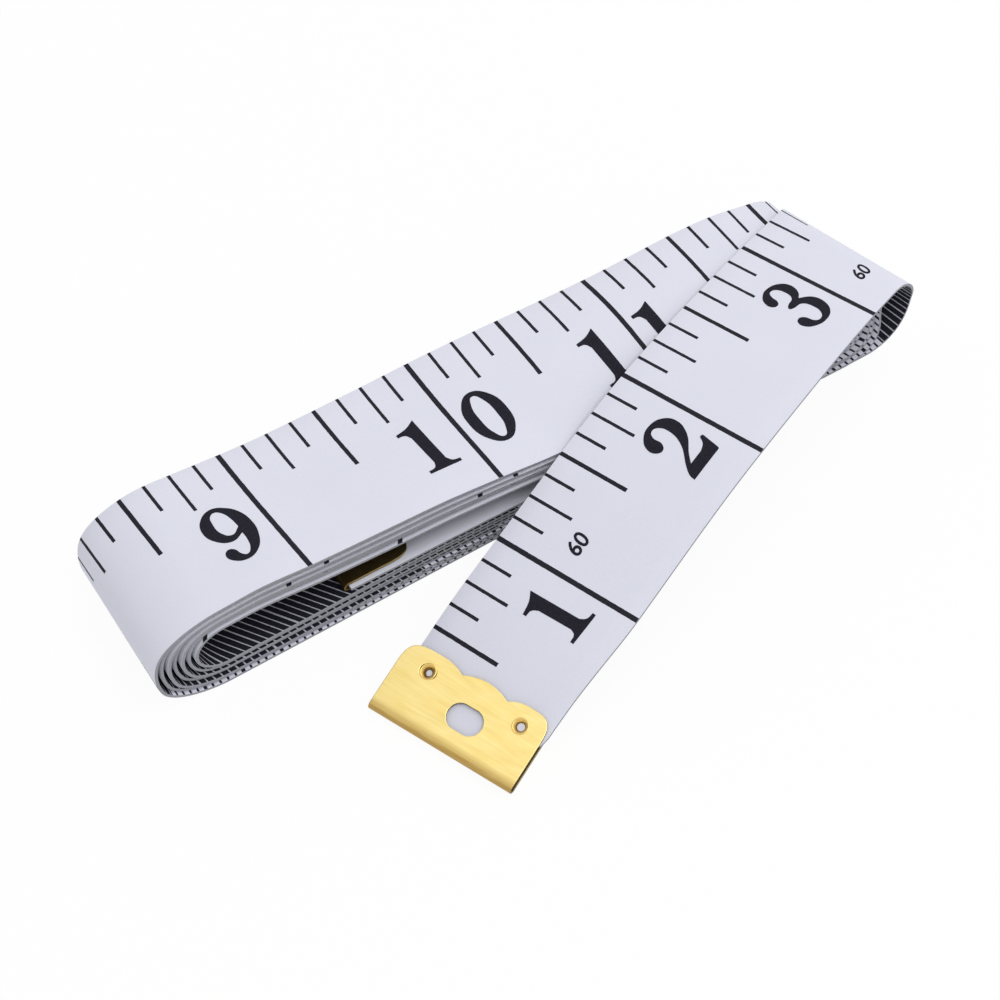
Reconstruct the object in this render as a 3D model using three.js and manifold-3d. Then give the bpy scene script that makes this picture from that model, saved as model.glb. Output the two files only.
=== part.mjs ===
// A 60 inch cloth tape measure, wound into a flat coil, with its free end folded
// over the coil and brought down in front of it. Millimetres, +Z up.
// X runs along the coil, Y across the tape, and the origin is the middle of the
// footprint, on the table.
import * as THREE from 'three';
import { mergeVertices } from 'three/addons/utils/BufferGeometryUtils.js';
import Module from 'manifold-3d';

const wasm = await Module();
wasm.setup();

// The tape
const tapeWidth = 19;
const tapeThickness = 0.35;
const turnPitch = 0.81; // from one turn to the next, in the coil
const jointGap = 0.3; // between two stretches of the tape that bend or move apart
const restGap = 0.3; // between the coil and what lies on it or round it

// The coil, seen from its side: a wide fold at the left, a low one at the right
const coilRun = 87; // between the middles of the two folds
const leftFoldHeight = 16;
const coilHeight = 13.2; // of the flat stretch
const dipRun = 26; // in which the top falls from the left fold to the flat stretch
const lowestPlyRise = 0.04; // of its middle, so that the coil stands on both ends of the ply
const leftCoreReach = 3.765; // of the innermost turn round each fold
const rightCoreReach = 1.865;
const sideStep = 0.6; // how far the turns stray across the tape
const sideStepShares = [0, 0.5, 0.1, 0.8, 0.3, 0.6, 0.2];
const firstPlySide = 0.4; // the lowest ply lies this much further back

// The short innermost turn, which ends in the inner brass tip
const innerFoldAt = 49; // from the middle of the left fold
const innerEndAt = 15.2;

// The free end, from its brass tip up over the coil to the end fold
const freeLength = 80.4; // of its near edge
const leafTurn = 0.356; // angle between the free end and the coil, in radians
const climbBend = 13; // length in which its climb levels out
const climbPast = 3.3; // it is level this far after it has crossed the coil's edge

// The end fold, a skewed open loop in a few stretches that each open a little
const endFoldLag = 3.9; // its near edge starts this far beyond the coil's right fold
const foldStretches = 6;

// The brass tips
const sheetThickness = 0.3;
const tipSeat = 0.2; // clearance of the tape, of the eyelets and of the coil round it
const tipLength = 9.35;
const valleyDepth = 0.75; // of the two valleys between the three lobes
const lobeRise = 2.95; // from the end of the straight sides to the lobes' peaks
const centreLobeHalf = 3.1;
const sideLobePeakIn = 3.7; // from the edge of the tape
const lobeShoulderShare = 1 / 3; // of the way in to the peak, the side lobe is full
const slotLength = 4.6;
const slotWidth = 3.2;
const slotFromFold = 4.4;
const eyeletFromLobe = 2.4;
const eyeletFromEdge = 3.6;
const eyeletFlangeRadius = 0.95;
const eyeletBarrelRadius = 0.55;
const eyeletBoreRadius = 0.35;
const eyeletFlange = 0.2;
const cutOverrun = 1;

// Steps of the facets
const turnSteps = { left: 8, right: 8, bottom: 2, small: 6 };
const dipShares = [0.25, 0.5, 0.75, 1];
const stretchSteps = 4;
const climbSteps = 6;
const curveSteps = 10;
const roundSteps = 24;
const lengthSteps = 60;
const gapSteps = 6;
const mergeShare = 0.001; // of the cloth's thickness, within which points are one

const halfThickness = tapeThickness / 2;
const tipHeight = tapeThickness + 2 * tipSeat + 2 * sheetThickness;
const tipRound = tipHeight / 2;
const tapeEndInTip = sheetThickness + 2 * tipSeat;

// As many whole turns as leave the inner tip its room, and the folds' reach outside
const turnRoom = coilHeight - tipHeight - 2 * tipSeat - 2 * tapeThickness;
const fullTurns = Math.floor(turnRoom / (2 * turnPitch));
const coilDepth = turnPitch * fullTurns + halfThickness;
const leftFoldReach = leftCoreReach + coilDepth;
const rightFoldReach = rightCoreReach + coilDepth;
const innerPlyHeight = coilHeight / 2;

const cloth = new THREE.MeshStandardMaterial({ color: 0xdcdfeb, roughness: 0.55, metalness: 0 });
const brass = new THREE.MeshStandardMaterial({ color: 0xd9b45a, roughness: 0.35, metalness: 1 });

const smooth = (x) => x * x * (3 - 2 * x);
const ease = (x, from, to) => smooth(Math.min(1, Math.max(0, (x - from) / (to - from))));
const strayed = (turn) => sideStep * sideStepShares[turn % sideStepShares.length];

// A stretch of tape through sections of the form { near, far, normal }: its two
// edges in the middle of the cloth, and the direction through the cloth.
function ribbon(sections) {
  const points = [];
  for (const { near, far, normal } of sections) {
    for (const [edge, side] of [[near, 1], [far, 1], [far, -1], [near, -1]]) {
      const p = edge.clone().addScaledVector(normal, side * halfThickness);
      points.push(p.x, p.y, p.z);
    }
  }
  const faces = [];
  const quad = (a, b, c, d) => faces.push(a, b, c, a, c, d);
  for (let i = 0; i + 1 < sections.length; i++) {
    for (let j = 0; j < 4; j++) {
      const k = (j + 1) % 4;
      quad(4 * i + j, 4 * i + k, 4 * (i + 1) + k, 4 * (i + 1) + j);
    }
  }
  const last = 4 * (sections.length - 1);
  quad(3, 2, 1, 0);
  quad(last, last + 1, last + 2, last + 3);
  const geometry = new THREE.BufferGeometry();
  geometry.setAttribute('position', new THREE.Float32BufferAttribute(points, 3));
  geometry.setIndex(faces);
  return solid(geometry).volume() > 0 ? geometry : turned(geometry);
}

function turned(geometry) {
  const index = geometry.getIndex().array;
  for (let i = 0; i < index.length; i += 3) [index[i], index[i + 1]] = [index[i + 1], index[i]];
  return geometry;
}

function solid(geometry) {
  const bare = geometry.clone();
  for (const name of Object.keys(bare.attributes)) {
    if (name !== 'position') bare.deleteAttribute(name);
  }
  const merged = mergeVertices(bare, tapeThickness * mergeShare);
  return new wasm.Manifold(new wasm.Mesh({
    numProp: 3,
    vertProperties: new Float32Array(merged.getAttribute('position').array),
    triVerts: new Uint32Array(merged.getIndex().array),
  }));
}

function surface(manifold) {
  const mesh = manifold.getMesh();
  const geometry = new THREE.BufferGeometry();
  geometry.setAttribute('position', new THREE.Float32BufferAttribute(mesh.vertProperties, 3));
  geometry.setIndex(Array.from(mesh.triVerts));
  return geometry;
}

// A point of the coil's outer side line: its place, its direction out of the coil
// and the share of the right fold that is already passed there
function sidePoint(x, z, outX, outZ, passed = 0) {
  const out = new THREE.Vector2(outX, outZ).normalize();
  return { x, z, nx: out.x, nz: out.y, passed };
}

// The outer side line, walked from the lowest ply at the right, round the left
// fold, along the top and round the right fold
function coilSideLine() {
  const line = [];
  for (let i = 0; i <= turnSteps.bottom; i++) {
    const share = i / turnSteps.bottom;
    const rise = lowestPlyRise * Math.sin(Math.PI * share);
    line.push(sidePoint(coilRun * (1 - share), rise, 0, -1));
  }
  const low = leftFoldHeight / 2;
  for (let i = 1; i <= turnSteps.left; i++) {
    const a = Math.PI * (i / turnSteps.left);
    line.push(sidePoint(-leftFoldReach * Math.sin(a), low - low * Math.cos(a),
      -Math.sin(a) / leftFoldReach, -Math.cos(a) / low));
  }
  const fall = leftFoldHeight - coilHeight;
  for (const share of dipShares) {
    const slope = (fall / dipRun) * 6 * share * (1 - share);
    line.push(sidePoint(dipRun * share, leftFoldHeight - fall * smooth(share), slope, 1));
  }
  line.push(sidePoint((dipRun + coilRun) / 2, coilHeight, 0, 1));
  line.push(sidePoint(coilRun, coilHeight, 0, 1));
  const high = coilHeight / 2;
  for (let i = 1; i < turnSteps.right; i++) {
    const a = Math.PI * (i / turnSteps.right);
    line.push(sidePoint(coilRun + rightFoldReach * Math.sin(a), high + high * Math.cos(a),
      Math.sin(a) / rightFoldReach, Math.cos(a) / high, i / turnSteps.right));
  }
  return line;
}

function section(x, z, side, outX, outZ, skew = 0) {
  return {
    near: new THREE.Vector3(x, side, z),
    far: new THREE.Vector3(x - skew, side + tapeWidth, z),
    normal: new THREE.Vector3(outX, 0, outZ),
  };
}

// The end fold's axis is skewed by half the turn between the two runs that it
// joins. It goes round the coil's right fold, which it clears at its far edge.
const foldSkew = leafTurn / 2;
const skewAcross = tapeWidth * Math.tan(foldSkew);
const foldNormal = new THREE.Vector3(Math.cos(foldSkew), Math.sin(foldSkew), 0);
const foldAxis = new THREE.Vector3(-Math.sin(foldSkew), Math.cos(foldSkew), 0);
const leafHeight = coilHeight + restGap + halfThickness;
const foldHalfHeight = (leafHeight - halfThickness) / 2;
const endFoldReach = halfThickness
  + (rightFoldReach + restGap + skewAcross - endFoldLag) * Math.cos(foldSkew);

// The coil is one unbroken spiral: each turn lies inside the one before it, and
// steps in by one pitch as it goes round the right fold.
function coilSections() {
  const line = coilSideLine();
  const gap = jointGap / Math.cos(foldSkew);
  const sections = [
    section(coilRun + endFoldLag - gap, halfThickness, firstPlySide, 0, -1, skewAcross),
  ];
  for (let turn = 0; turn <= fullTurns; turn++) {
    const before = turn === 0 ? firstPlySide : strayed(turn - 1);
    for (const [i, p] of line.entries()) {
      if (turn === 0 && i === 0) continue;
      const onTop = i > turnSteps.bottom + turnSteps.left;
      if (turn === fullTurns && onTop && p.x > innerFoldAt) break;
      const depth = halfThickness + turnPitch * (turn + p.passed);
      const share = Math.min(1, i / turnSteps.bottom);
      const side = before + (strayed(turn) - before) * share;
      sections.push(section(p.x - p.nx * depth, p.z - p.nz * depth, side, p.nx, p.nz));
    }
  }
  const side = strayed(fullTurns);
  const radius = (coilHeight - coilDepth - innerPlyHeight) / 2;
  for (let i = 0; i <= turnSteps.small; i++) {
    const a = Math.PI * (i / turnSteps.small);
    sections.push(section(innerFoldAt + radius * Math.sin(a),
      innerPlyHeight + radius + radius * Math.cos(a), side, Math.sin(a), Math.cos(a)));
  }
  sections.push(section((innerFoldAt + innerEndAt) / 2, innerPlyHeight, side, 0, -1));
  sections.push(section(innerEndAt + tapeEndInTip, innerPlyHeight, side, 0, -1));
  return sections;
}

// Least distance from surface to surface between stretches of the coil that
// aren't neighbours along the tape, measured on points of the side line
function leastGap(sections) {
  let least = Infinity;
  for (let i = 0; i + 1 < sections.length; i++) {
    for (let k = 0; k < gapSteps; k++) {
      const point = sections[i].near.clone().lerp(sections[i + 1].near, k / gapSteps).setY(0);
      for (let j = 0; j + 1 < sections.length; j++) {
        if (Math.abs(i - j) < turnSteps.small) continue;
        const piece = new THREE.Line3(sections[j].near.clone().setY(0),
          sections[j + 1].near.clone().setY(0));
        const nearest = piece.closestPointToPoint(point, true, new THREE.Vector3());
        least = Math.min(least, nearest.distanceTo(point));
      }
    }
  }
  return least - tapeThickness;
}

// Length of the end fold's outline, half an ellipse, from its top to angle a
function foldLengthTo(a) {
  let length = 0;
  for (let i = 0; i < lengthSteps; i++) {
    const b = (a * (i + 0.5)) / lengthSteps;
    length += Math.hypot(endFoldReach * Math.cos(b), foldHalfHeight * Math.sin(b));
  }
  return (length * a) / lengthSteps;
}

// Where the fold starts on the near edge: the tape slides along the fold's axis
// as it goes round, and comes out in line with the lowest ply.
const foldLength = foldLengthTo(Math.PI);
const foldStart = new THREE.Vector3(
  coilRun + endFoldLag + foldLength * Math.tan(foldSkew) * Math.sin(foldSkew),
  firstPlySide - foldLength * Math.sin(foldSkew),
  leafHeight,
);

function endFoldSection(a) {
  const reach = endFoldReach * Math.sin(a);
  const height = foldHalfHeight * Math.cos(a);
  const near = foldStart.clone().addScaledVector(foldNormal, reach)
    .addScaledVector(foldAxis, foldLengthTo(a) * Math.tan(foldSkew))
    .setZ(halfThickness + foldHalfHeight + height);
  const far = near.clone().addScaledVector(foldAxis, tapeWidth / Math.cos(foldSkew));
  const out = new THREE.Vector2(reach / endFoldReach ** 2, height / foldHalfHeight ** 2);
  out.normalize();
  return { near, far, normal: foldNormal.clone().multiplyScalar(out.x).setZ(out.y) };
}

// One stretch of the end fold, counted from the coil up to the free end
function foldStretch(number) {
  const gapAngle = jointGap / foldHalfHeight / 2;
  const high = Math.PI * (1 - number / foldStretches);
  const from = number === 0 ? high : high - gapAngle;
  const low = Math.PI * (1 - (number + 1) / foldStretches);
  const to = number === foldStretches - 1 ? low : low + gapAngle;
  const sections = [];
  for (let i = 0; i <= stretchSteps; i++) {
    sections.push(endFoldSection(from + (to - from) * (i / stretchSteps)));
  }
  return sections;
}

// The free end stands on the folded edge of its tip and climbs straight, until it
// bends level where its far edge crosses the coil's front edge.
const crossRun = (foldStart.y + tapeWidth * Math.cos(leafTurn)) / Math.sin(leafTurn);
const climbEnd = freeLength - crossRun + climbPast;
const climbEase = climbEnd - climbBend;
const climbRun = (climbEase + climbEnd) / 2;
const climbAngle = Math.asin((leafHeight - tipRound) / (climbRun - tipRound));
const pitchAt = (s) => climbAngle * (1 - ease(s, climbEase, climbEnd));

function runAt(s) {
  let along = 0;
  let up = 0;
  for (let i = 0; i < lengthSteps; i++) {
    const pitch = pitchAt((s * (i + 0.5)) / lengthSteps);
    along += (Math.cos(pitch) * s) / lengthSteps;
    up += (Math.sin(pitch) * s) / lengthSteps;
  }
  return { along, up };
}

const leafDirection = new THREE.Vector3(Math.cos(leafTurn), Math.sin(leafTurn), 0);
const leafAcross = new THREE.Vector3(-Math.sin(leafTurn), Math.cos(leafTurn), 0);
const tipPlace = foldStart.clone().addScaledVector(leafDirection, -runAt(freeLength).along)
  .setZ(tipRound * (1 - Math.sin(climbAngle)));

// A section of the free end, at these lengths from the tip along its two edges
function leafSection(sNear, sFar = sNear) {
  const place = (s, across) => {
    const { along, up } = runAt(s);
    const point = tipPlace.clone().addScaledVector(leafDirection, along);
    return point.addScaledVector(leafAcross, across).setZ(tipPlace.z + up);
  };
  const pitch = pitchAt(sNear);
  const normal = leafDirection.clone().multiplyScalar(-Math.sin(pitch)).setZ(Math.cos(pitch));
  return { near: place(sNear, 0), far: place(sFar, tapeWidth), normal };
}

function zeroEndSections() {
  const stops = [tapeEndInTip, (tipLength + climbEase) / 2, climbEase - jointGap / 2];
  return stops.map((s) => leafSection(s));
}

function climbSections() {
  const sections = [];
  for (let i = 0; i <= climbSteps; i++) {
    const share = i / climbSteps;
    sections.push(leafSection(climbEase + jointGap / 2 + (climbBend - jointGap) * share));
  }
  return sections;
}

function freeEndSections() {
  const end = freeLength - jointGap / Math.cos(foldSkew);
  return [leafSection(climbEnd + jointGap / 2), leafSection(end, end + skewAcross)];
}

// A brass tip lies along X from its folded edge at zero, across Y from zero to
// the tape's width, and round the middle of the cloth in Z.
function tipOutline() {
  const middle = tapeWidth / 2;
  const valleyAt = middle - centreLobeHalf;
  const valley = tipLength - valleyDepth;
  const half = new THREE.Path();
  half.moveTo(-cutOverrun, -cutOverrun);
  half.lineTo(tipLength - lobeRise, -cutOverrun);
  half.lineTo(tipLength - lobeRise, 0);
  half.bezierCurveTo(tipLength, 0, tipLength, sideLobePeakIn * lobeShoulderShare,
    tipLength, sideLobePeakIn);
  half.quadraticCurveTo(tipLength, sideLobePeakIn + centreLobeHalf / 2, valley, valleyAt);
  half.quadraticCurveTo(tipLength, (valleyAt + middle) / 2, tipLength, middle);
  const near = half.getPoints(curveSteps);
  const far = near.slice(0, -1).reverse().map((p) => new THREE.Vector2(p.x, tapeWidth - p.y));
  return new THREE.Shape([...near, ...far]);
}

// The sheet's section: folded round its edge, open towards the tape
function foldedSheet() {
  const outer = tipHeight / 2;
  const inner = outer - sheetThickness;
  const end = tipLength + cutOverrun;
  const side = new THREE.Shape();
  side.moveTo(end, -outer);
  side.lineTo(end, -inner);
  side.lineTo(outer, -inner);
  side.absarc(outer, 0, inner, -Math.PI / 2, Math.PI / 2, true);
  side.lineTo(end, inner);
  side.lineTo(end, outer);
  side.lineTo(outer, outer);
  side.absarc(outer, 0, outer, Math.PI / 2, -Math.PI / 2, false);
  side.closePath();
  const geometry = new THREE.ExtrudeGeometry(side, {
    depth: tapeWidth, bevelEnabled: false, curveSegments: curveSteps,
  });
  return geometry.rotateX(Math.PI / 2).translate(0, tapeWidth, 0);
}

function eyeletPlaces() {
  const sides = [eyeletFromEdge, tapeWidth - eyeletFromEdge];
  return sides.map((y) => [tipLength - eyeletFromLobe, y]);
}

function post(radius, x, y) {
  const height = tipHeight + 2 * cutOverrun;
  return new THREE.CylinderGeometry(radius, radius, height, roundSteps)
    .rotateX(Math.PI / 2).translate(x, y, 0);
}

// The sheet, cut to its lobes, with an oval window in its upper leaf only and the
// two eyelet holes through both leaves
function tipGeometry() {
  const outline = new THREE.ExtrudeGeometry(tipOutline(), {
    depth: tipHeight + 2 * cutOverrun, bevelEnabled: false,
  }).translate(0, 0, -tipHeight / 2 - cutOverrun);
  const slot = new THREE.Shape();
  const bend = (slotLength - slotWidth) / 2;
  slot.absarc(0, bend, slotWidth / 2, 0, Math.PI, false);
  slot.absarc(0, -bend, slotWidth / 2, Math.PI, 2 * Math.PI, false);
  slot.closePath();
  const window = new THREE.ExtrudeGeometry(slot, {
    depth: tipHeight, bevelEnabled: false, curveSegments: curveSteps,
  }).translate(slotFromFold, tapeWidth / 2, 0);
  let tip = solid(foldedSheet()).intersect(solid(outline)).subtract(solid(window));
  for (const [x, y] of eyeletPlaces()) {
    tip = tip.subtract(solid(post(eyeletFlangeRadius + tipSeat, x, y)));
  }
  return surface(tip);
}

// A hollow rivet with a flange and a dimple at each end, flush with the tip
function eyeletGeometry() {
  const top = tipHeight / 2;
  const neck = top - eyeletFlange;
  const profile = [
    [eyeletBoreRadius, -neck], [eyeletFlangeRadius, -top], [eyeletFlangeRadius, -neck],
    [eyeletBarrelRadius, -neck + eyeletFlange], [eyeletBarrelRadius, neck - eyeletFlange],
    [eyeletFlangeRadius, neck], [eyeletFlangeRadius, top], [eyeletBoreRadius, neck],
    [eyeletBoreRadius, -neck],
  ].map(([x, y]) => new THREE.Vector2(x, y));
  return new THREE.LatheGeometry(profile, roundSteps).rotateX(Math.PI / 2);
}

function riveted(tape, toTip) {
  let cut = solid(tape);
  for (const [x, y] of eyeletPlaces()) {
    const hole = post(eyeletBarrelRadius + tipSeat, x, y).applyMatrix4(toTip);
    cut = cut.subtract(solid(hole));
  }
  return surface(cut);
}

function piece(name, geometry, material) {
  const mesh = new THREE.Mesh(geometry, material);
  mesh.name = name;
  return mesh;
}

// A tip with its two eyelets, in a group that stands where the tip stands
function tipGroup(prefix, place) {
  const group = new THREE.Group();
  group.applyMatrix4(place);
  group.add(piece(`${prefix}_tip`, tipGeometry(), brass));
  for (const [i, [x, y]] of eyeletPlaces().entries()) {
    const eyelet = piece(`${prefix}_eyelet_${i + 1}`, eyeletGeometry(), brass);
    eyelet.position.set(x, y, 0);
    group.add(eyelet);
  }
  return group;
}

const climbDirection = leafDirection.clone().multiplyScalar(Math.cos(climbAngle))
  .setZ(Math.sin(climbAngle));
const outerPlace = new THREE.Matrix4()
  .makeBasis(climbDirection, leafAcross, climbDirection.clone().cross(leafAcross))
  .setPosition(tipPlace);
const innerPlace = new THREE.Matrix4()
  .setPosition(innerEndAt, strayed(fullTurns), innerPlyHeight);

const coil = coilSections();
const coilLength = coil.slice(1)
  .reduce((sum, q, i) => sum + q.near.distanceTo(coil[i].near), 0);
console.log('least gap between turns of the coil, mm:', leastGap(coil).toFixed(3));
console.log('length of the tape in the coil, mm:', coilLength.toFixed(1));
console.log('in the end fold:', foldLength.toFixed(1), 'and in the free end:', freeLength);

const tape = new THREE.Group();
tape.add(piece('tape_coil', riveted(ribbon(coil), innerPlace), cloth));
for (let i = 0; i < foldStretches; i++) {
  tape.add(piece(`tape_fold_${i + 1}`, ribbon(foldStretch(i)), cloth));
}
tape.add(
  piece('tape_free_end', ribbon(freeEndSections()), cloth),
  piece('tape_free_bend', ribbon(climbSections()), cloth),
  piece('tape_zero_end', riveted(ribbon(zeroEndSections()), outerPlace), cloth),
  tipGroup('outer', outerPlace),
  tipGroup('inner', innerPlace),
);

const box = new THREE.Box3().setFromObject(tape, true);
const middle = box.getCenter(new THREE.Vector3());
tape.position.set(-middle.x, -middle.y, -box.min.z);

const model = new THREE.Group();
model.add(tape);
export default model;
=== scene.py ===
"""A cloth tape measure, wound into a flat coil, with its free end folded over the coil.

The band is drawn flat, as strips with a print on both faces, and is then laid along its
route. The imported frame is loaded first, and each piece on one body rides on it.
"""

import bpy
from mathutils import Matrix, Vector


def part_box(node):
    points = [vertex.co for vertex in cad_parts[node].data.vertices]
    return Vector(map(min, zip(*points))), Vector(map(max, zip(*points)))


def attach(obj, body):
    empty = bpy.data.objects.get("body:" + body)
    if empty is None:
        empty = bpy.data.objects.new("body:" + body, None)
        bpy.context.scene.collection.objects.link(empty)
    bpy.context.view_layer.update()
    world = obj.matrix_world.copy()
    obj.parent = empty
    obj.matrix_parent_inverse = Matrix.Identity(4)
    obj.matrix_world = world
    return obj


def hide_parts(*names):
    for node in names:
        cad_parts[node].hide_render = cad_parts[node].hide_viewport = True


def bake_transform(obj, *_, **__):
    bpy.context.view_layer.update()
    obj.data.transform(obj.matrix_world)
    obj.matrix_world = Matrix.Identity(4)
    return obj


bl_info = {
    "name": "Cloth tape measure",
    "version": (1, 0, 0),
    "blender": (4, 5, 0),
    "location": "View3D > Sidebar > Tape measure",
    "description": "Builds a coiled cloth tape measure round its packed frame",
    "category": "Object",
}

import math
from collections import namedtuple

import bmesh
import bpy
from bpy.props import FloatProperty, FloatVectorProperty, IntProperty, PointerProperty
from mathutils import Matrix, Vector
from mathutils.geometry import interpolate_bezier

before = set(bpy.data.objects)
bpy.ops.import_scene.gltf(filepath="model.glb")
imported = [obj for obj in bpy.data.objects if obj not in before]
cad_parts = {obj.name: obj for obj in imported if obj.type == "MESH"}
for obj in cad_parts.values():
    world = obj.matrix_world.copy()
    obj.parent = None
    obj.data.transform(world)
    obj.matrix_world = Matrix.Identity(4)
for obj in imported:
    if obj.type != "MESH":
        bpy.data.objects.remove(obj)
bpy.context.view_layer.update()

# Sizes are in millimetres, as on the printed scale, and MM takes them to metres
MM = 0.001
INCH = 25.4

# The band
TAPE_WIDTH = 19.0
TAPE_THICKNESS = 0.35
TAPE_LENGTH = 60 * INCH
HALF = TAPE_THICKNESS / 2
CLOTH_THICKNESS = 0.42
EDGE_ROUND = 0.07
TURN_PITCH = 0.81
REST_GAP = 0.3

# The coil, seen from its side
COIL_RUN = 87.0
LEFT_FOLD_HEIGHT = 16.0
COIL_HEIGHT = 13.2
DIP_RUN = 26.0
LEFT_CORE_REACH = 3.765
RIGHT_CORE_REACH = 1.865
SIDE_STEP = 0.6
SIDE_STEP_SHARES = (0, 0.5, 0.1, 0.8, 0.3, 0.6, 0.2)
FIRST_PLY_SIDE = 0.4
INNER_FOLD_AT = 49.0
INNER_END_AT = 15.2

# The free end and the end fold
FREE_LENGTH = 80.4
LEAF_TURN = 0.356
CLIMB_BEND = 13.0
CLIMB_PAST = 3.3
END_FOLD_LAG = 3.9
FOLD_STRETCHES = 6
BEND_RUN = 19.0
LEAF_SPREAD = 0.35
FAR_TIGHTENING = 2.8  # of the right folds, which are tighter on their far edge
TIGHTENS_FROM = 76.0
LEAF_ROLL = -0.03
CORNER_CLIP = 1.2  # of the cloth inside the tip, which ends between these lengths
CLIP_ENDS = (5.5, 7.0)
NEAR_DRAW = 0.8  # of the near edge next to the tip, which ends between these lengths
NEAR_DRAW_ENDS = (8, 25)
TIP_TURN = 0.041  # of the tip against the free end, about its near corner
TIP_SHIFT = Vector((0.35, 0.1, 0))
TIP_LOBES = ((0, 0.52), (6.4, 6.4), (12.6, 12.6), (TAPE_WIDTH, 20.25))  # as made and as drawn
PRINT_AHEAD = 1.0  # of the tip's folded edge
PRINT_SLIPS = (2.76, 0.86)  # of the near and far edges along the lowest ply
LEFT_FOLD_STRETCH = 1.06
SIDE_DRAW = 1.7  # of the lowest plies towards the near side at the right folds
FOLD_DROP = 0.8
FOLD_SAGS = (2.0, 1.0)  # of the end fold's upper side, at its near and far edges

# Places along the coil with the height of its top there, on its near and its far edge
COIL_TOP_NEAR = ((-6, 14.5), (0, 14.65), (5, 14.9), (12, 14.2), (23, 13.6), (29, 13.25),
                 (36, 12.4), (45, 11.2), (60, 11.2), (80, 11.4), (87, 11.2))
COIL_TOP_FAR = ((-6, 15.5), (0, 15.5), (7, 14.8), (14, 14.2), (26, 14.2), (40, 14.45),
                (61, 13.9), (74, 14.4), (80, 14.1), (87, 12.9), (93, 12.4))
# Places along the coil with the sag of its top between its edges
COIL_SAG = ((-2, 0), (10, 0.3), (32, 0.5), (40, 0.2), (50, -0.7), (60, -1.2), (68, -1.0),
            (75, -0.5), (84, 0))
SAG_LEAN = 1.4  # of the deepest place of that sag towards the far edge
PLY_SQUEEZE = 0.84
INNER_DROP = 1.1  # of the inner end, which lies on the lower plies
INNER_DROP_STARTS = (4, 14)
INNER_DROP_ENDS = (55, 70)
# Places along the free end with its slope there
LEAF_SLOPE = ((0, 0.316), (8, 0.33), (11, 0.40), (14, 0.36), (20, 0.26), (31, 0.265), (38, 0.24),
              (44, 0.17), (51, 0.09), (57, 0.04), (64, 0.01), (72, -0.05), (80, -0.12), (84, -0.12))

# The brass tips
SHEET_THICKNESS = 0.3
TIP_SEAT = 0.2
TIP_LENGTH = 9.35
VALLEY_DEPTH = 0.75
LOBE_RISE = 2.95
CENTRE_LOBE_HALF = 3.1
SIDE_LOBE_PEAK_IN = 3.7
SLOT_LENGTH = 4.6
SLOT_WIDTH = 3.2
SLOT_FROM_FOLD = 4.4
EYELET_FROM_LOBE = 2.4
EYELET_FROM_EDGE = 3.3
EYELET_FLANGE_RADIUS = 1.05
EYELET_BORE_RADIUS = 0.32
EYELET_OVERLAP = 0.15
EYELET_RISE = 0.05
# From an eyelet's rim in to where the painted shade in its funnel starts
EYELET_SHADE_INSET = 0.43
TIP_EDGE_ROUND = 0.06
# Width of the painted shade along a tip's folded edge
FOLD_SHADE_WIDTH = 1.7
# Painted shade on the inner tip, which lies in the coil, and on the tips' cut edges and insides
INNER_TIP_SHADE = 0.85
CUT_EDGE_SHADE = 0.8

# The print
LONG_LINE = 0.65
HALF_LINE = 0.54
SHORT_LINE = 0.42
INCH_MARKS = ((INCH, LONG_LINE, TAPE_WIDTH), (INCH / 2, HALF_LINE, 9.1),
              (INCH / 4, SHORT_LINE, 5.9), (INCH / 8, SHORT_LINE, 4.1))
METRIC_MARKS = ((10, 0.5, 9.0), (5, 0.45, 7.2), (1, 0.3, 5.6))
WHITE_MARKS = ((10, 0.28, 9.0), (5, 0.22, 7.2), (1, 0.17, 5.6))  # on the black zones
METRIC_ZONE = 100.0
METRIC_END = 1500.0
CENTIMETRE = 10
LAST_INCH_NUMERAL = 13
NUMERAL_BASE = 4.2
NUMERAL_ASIDE = 1.9  # from a numeral to its inch line
NUMERAL_ASIDE_OF_TWO = 2.4  # where its second figure stands beyond the line
BEYOND_LINE_SHARE = 0.7
NUMERAL_STEP = 0.45  # between two figures on one side of their line
METRIC_NUMERAL_BASE = 17.0
METRIC_NUMERAL_SCALE = 0.62
LENGTH_MARKS = ((28.1, 9.9, 1.0), (80.3, 4.25, 0.95))  # along, across and scale
LENGTH_MARK_HEIGHT = 2.75
LENGTH_MARK_SHEAR = 0.15
LENGTH_MARK_WEIGHT = 0.045
MARK_MARGIN = 10.0
INK_LIFT = 0.03
INK_DEPTH = 0.03
LINE_WOBBLE = 0.08

# The stage, in metres
FLOOR_REACH = 3
FLOOR_LEVEL = -0.00005
FLOOR_GLOW = 0.94
LAMP_SIZE = 0.5
LAMPS = (("key", (0.1, -0.2, 0.7), 1.0), ("fill", (0.5, 0.1, 0.4), 0.3))  # place and power

# Steps of the curves
PLY_STEPS = 36
FOLD_STEPS = 40
DIP_STEPS = 16
STRETCH_STEPS = 16
BEND_STEPS = 24
COLUMNS = 8
LENGTH_STEPS = 400
CURVE_STEPS = 14
ROUND_STEPS = 40
TURN_STEP = 0.01  # between two angles that give the end fold's direction
MERGE_WITHIN = 0.001
CLOTH_SMOOTH_ANGLE = 0.7
TIP_SMOOTH_ANGLE = 0.3
EYELET_SMOOTH_ANGLE = 0.9

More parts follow.
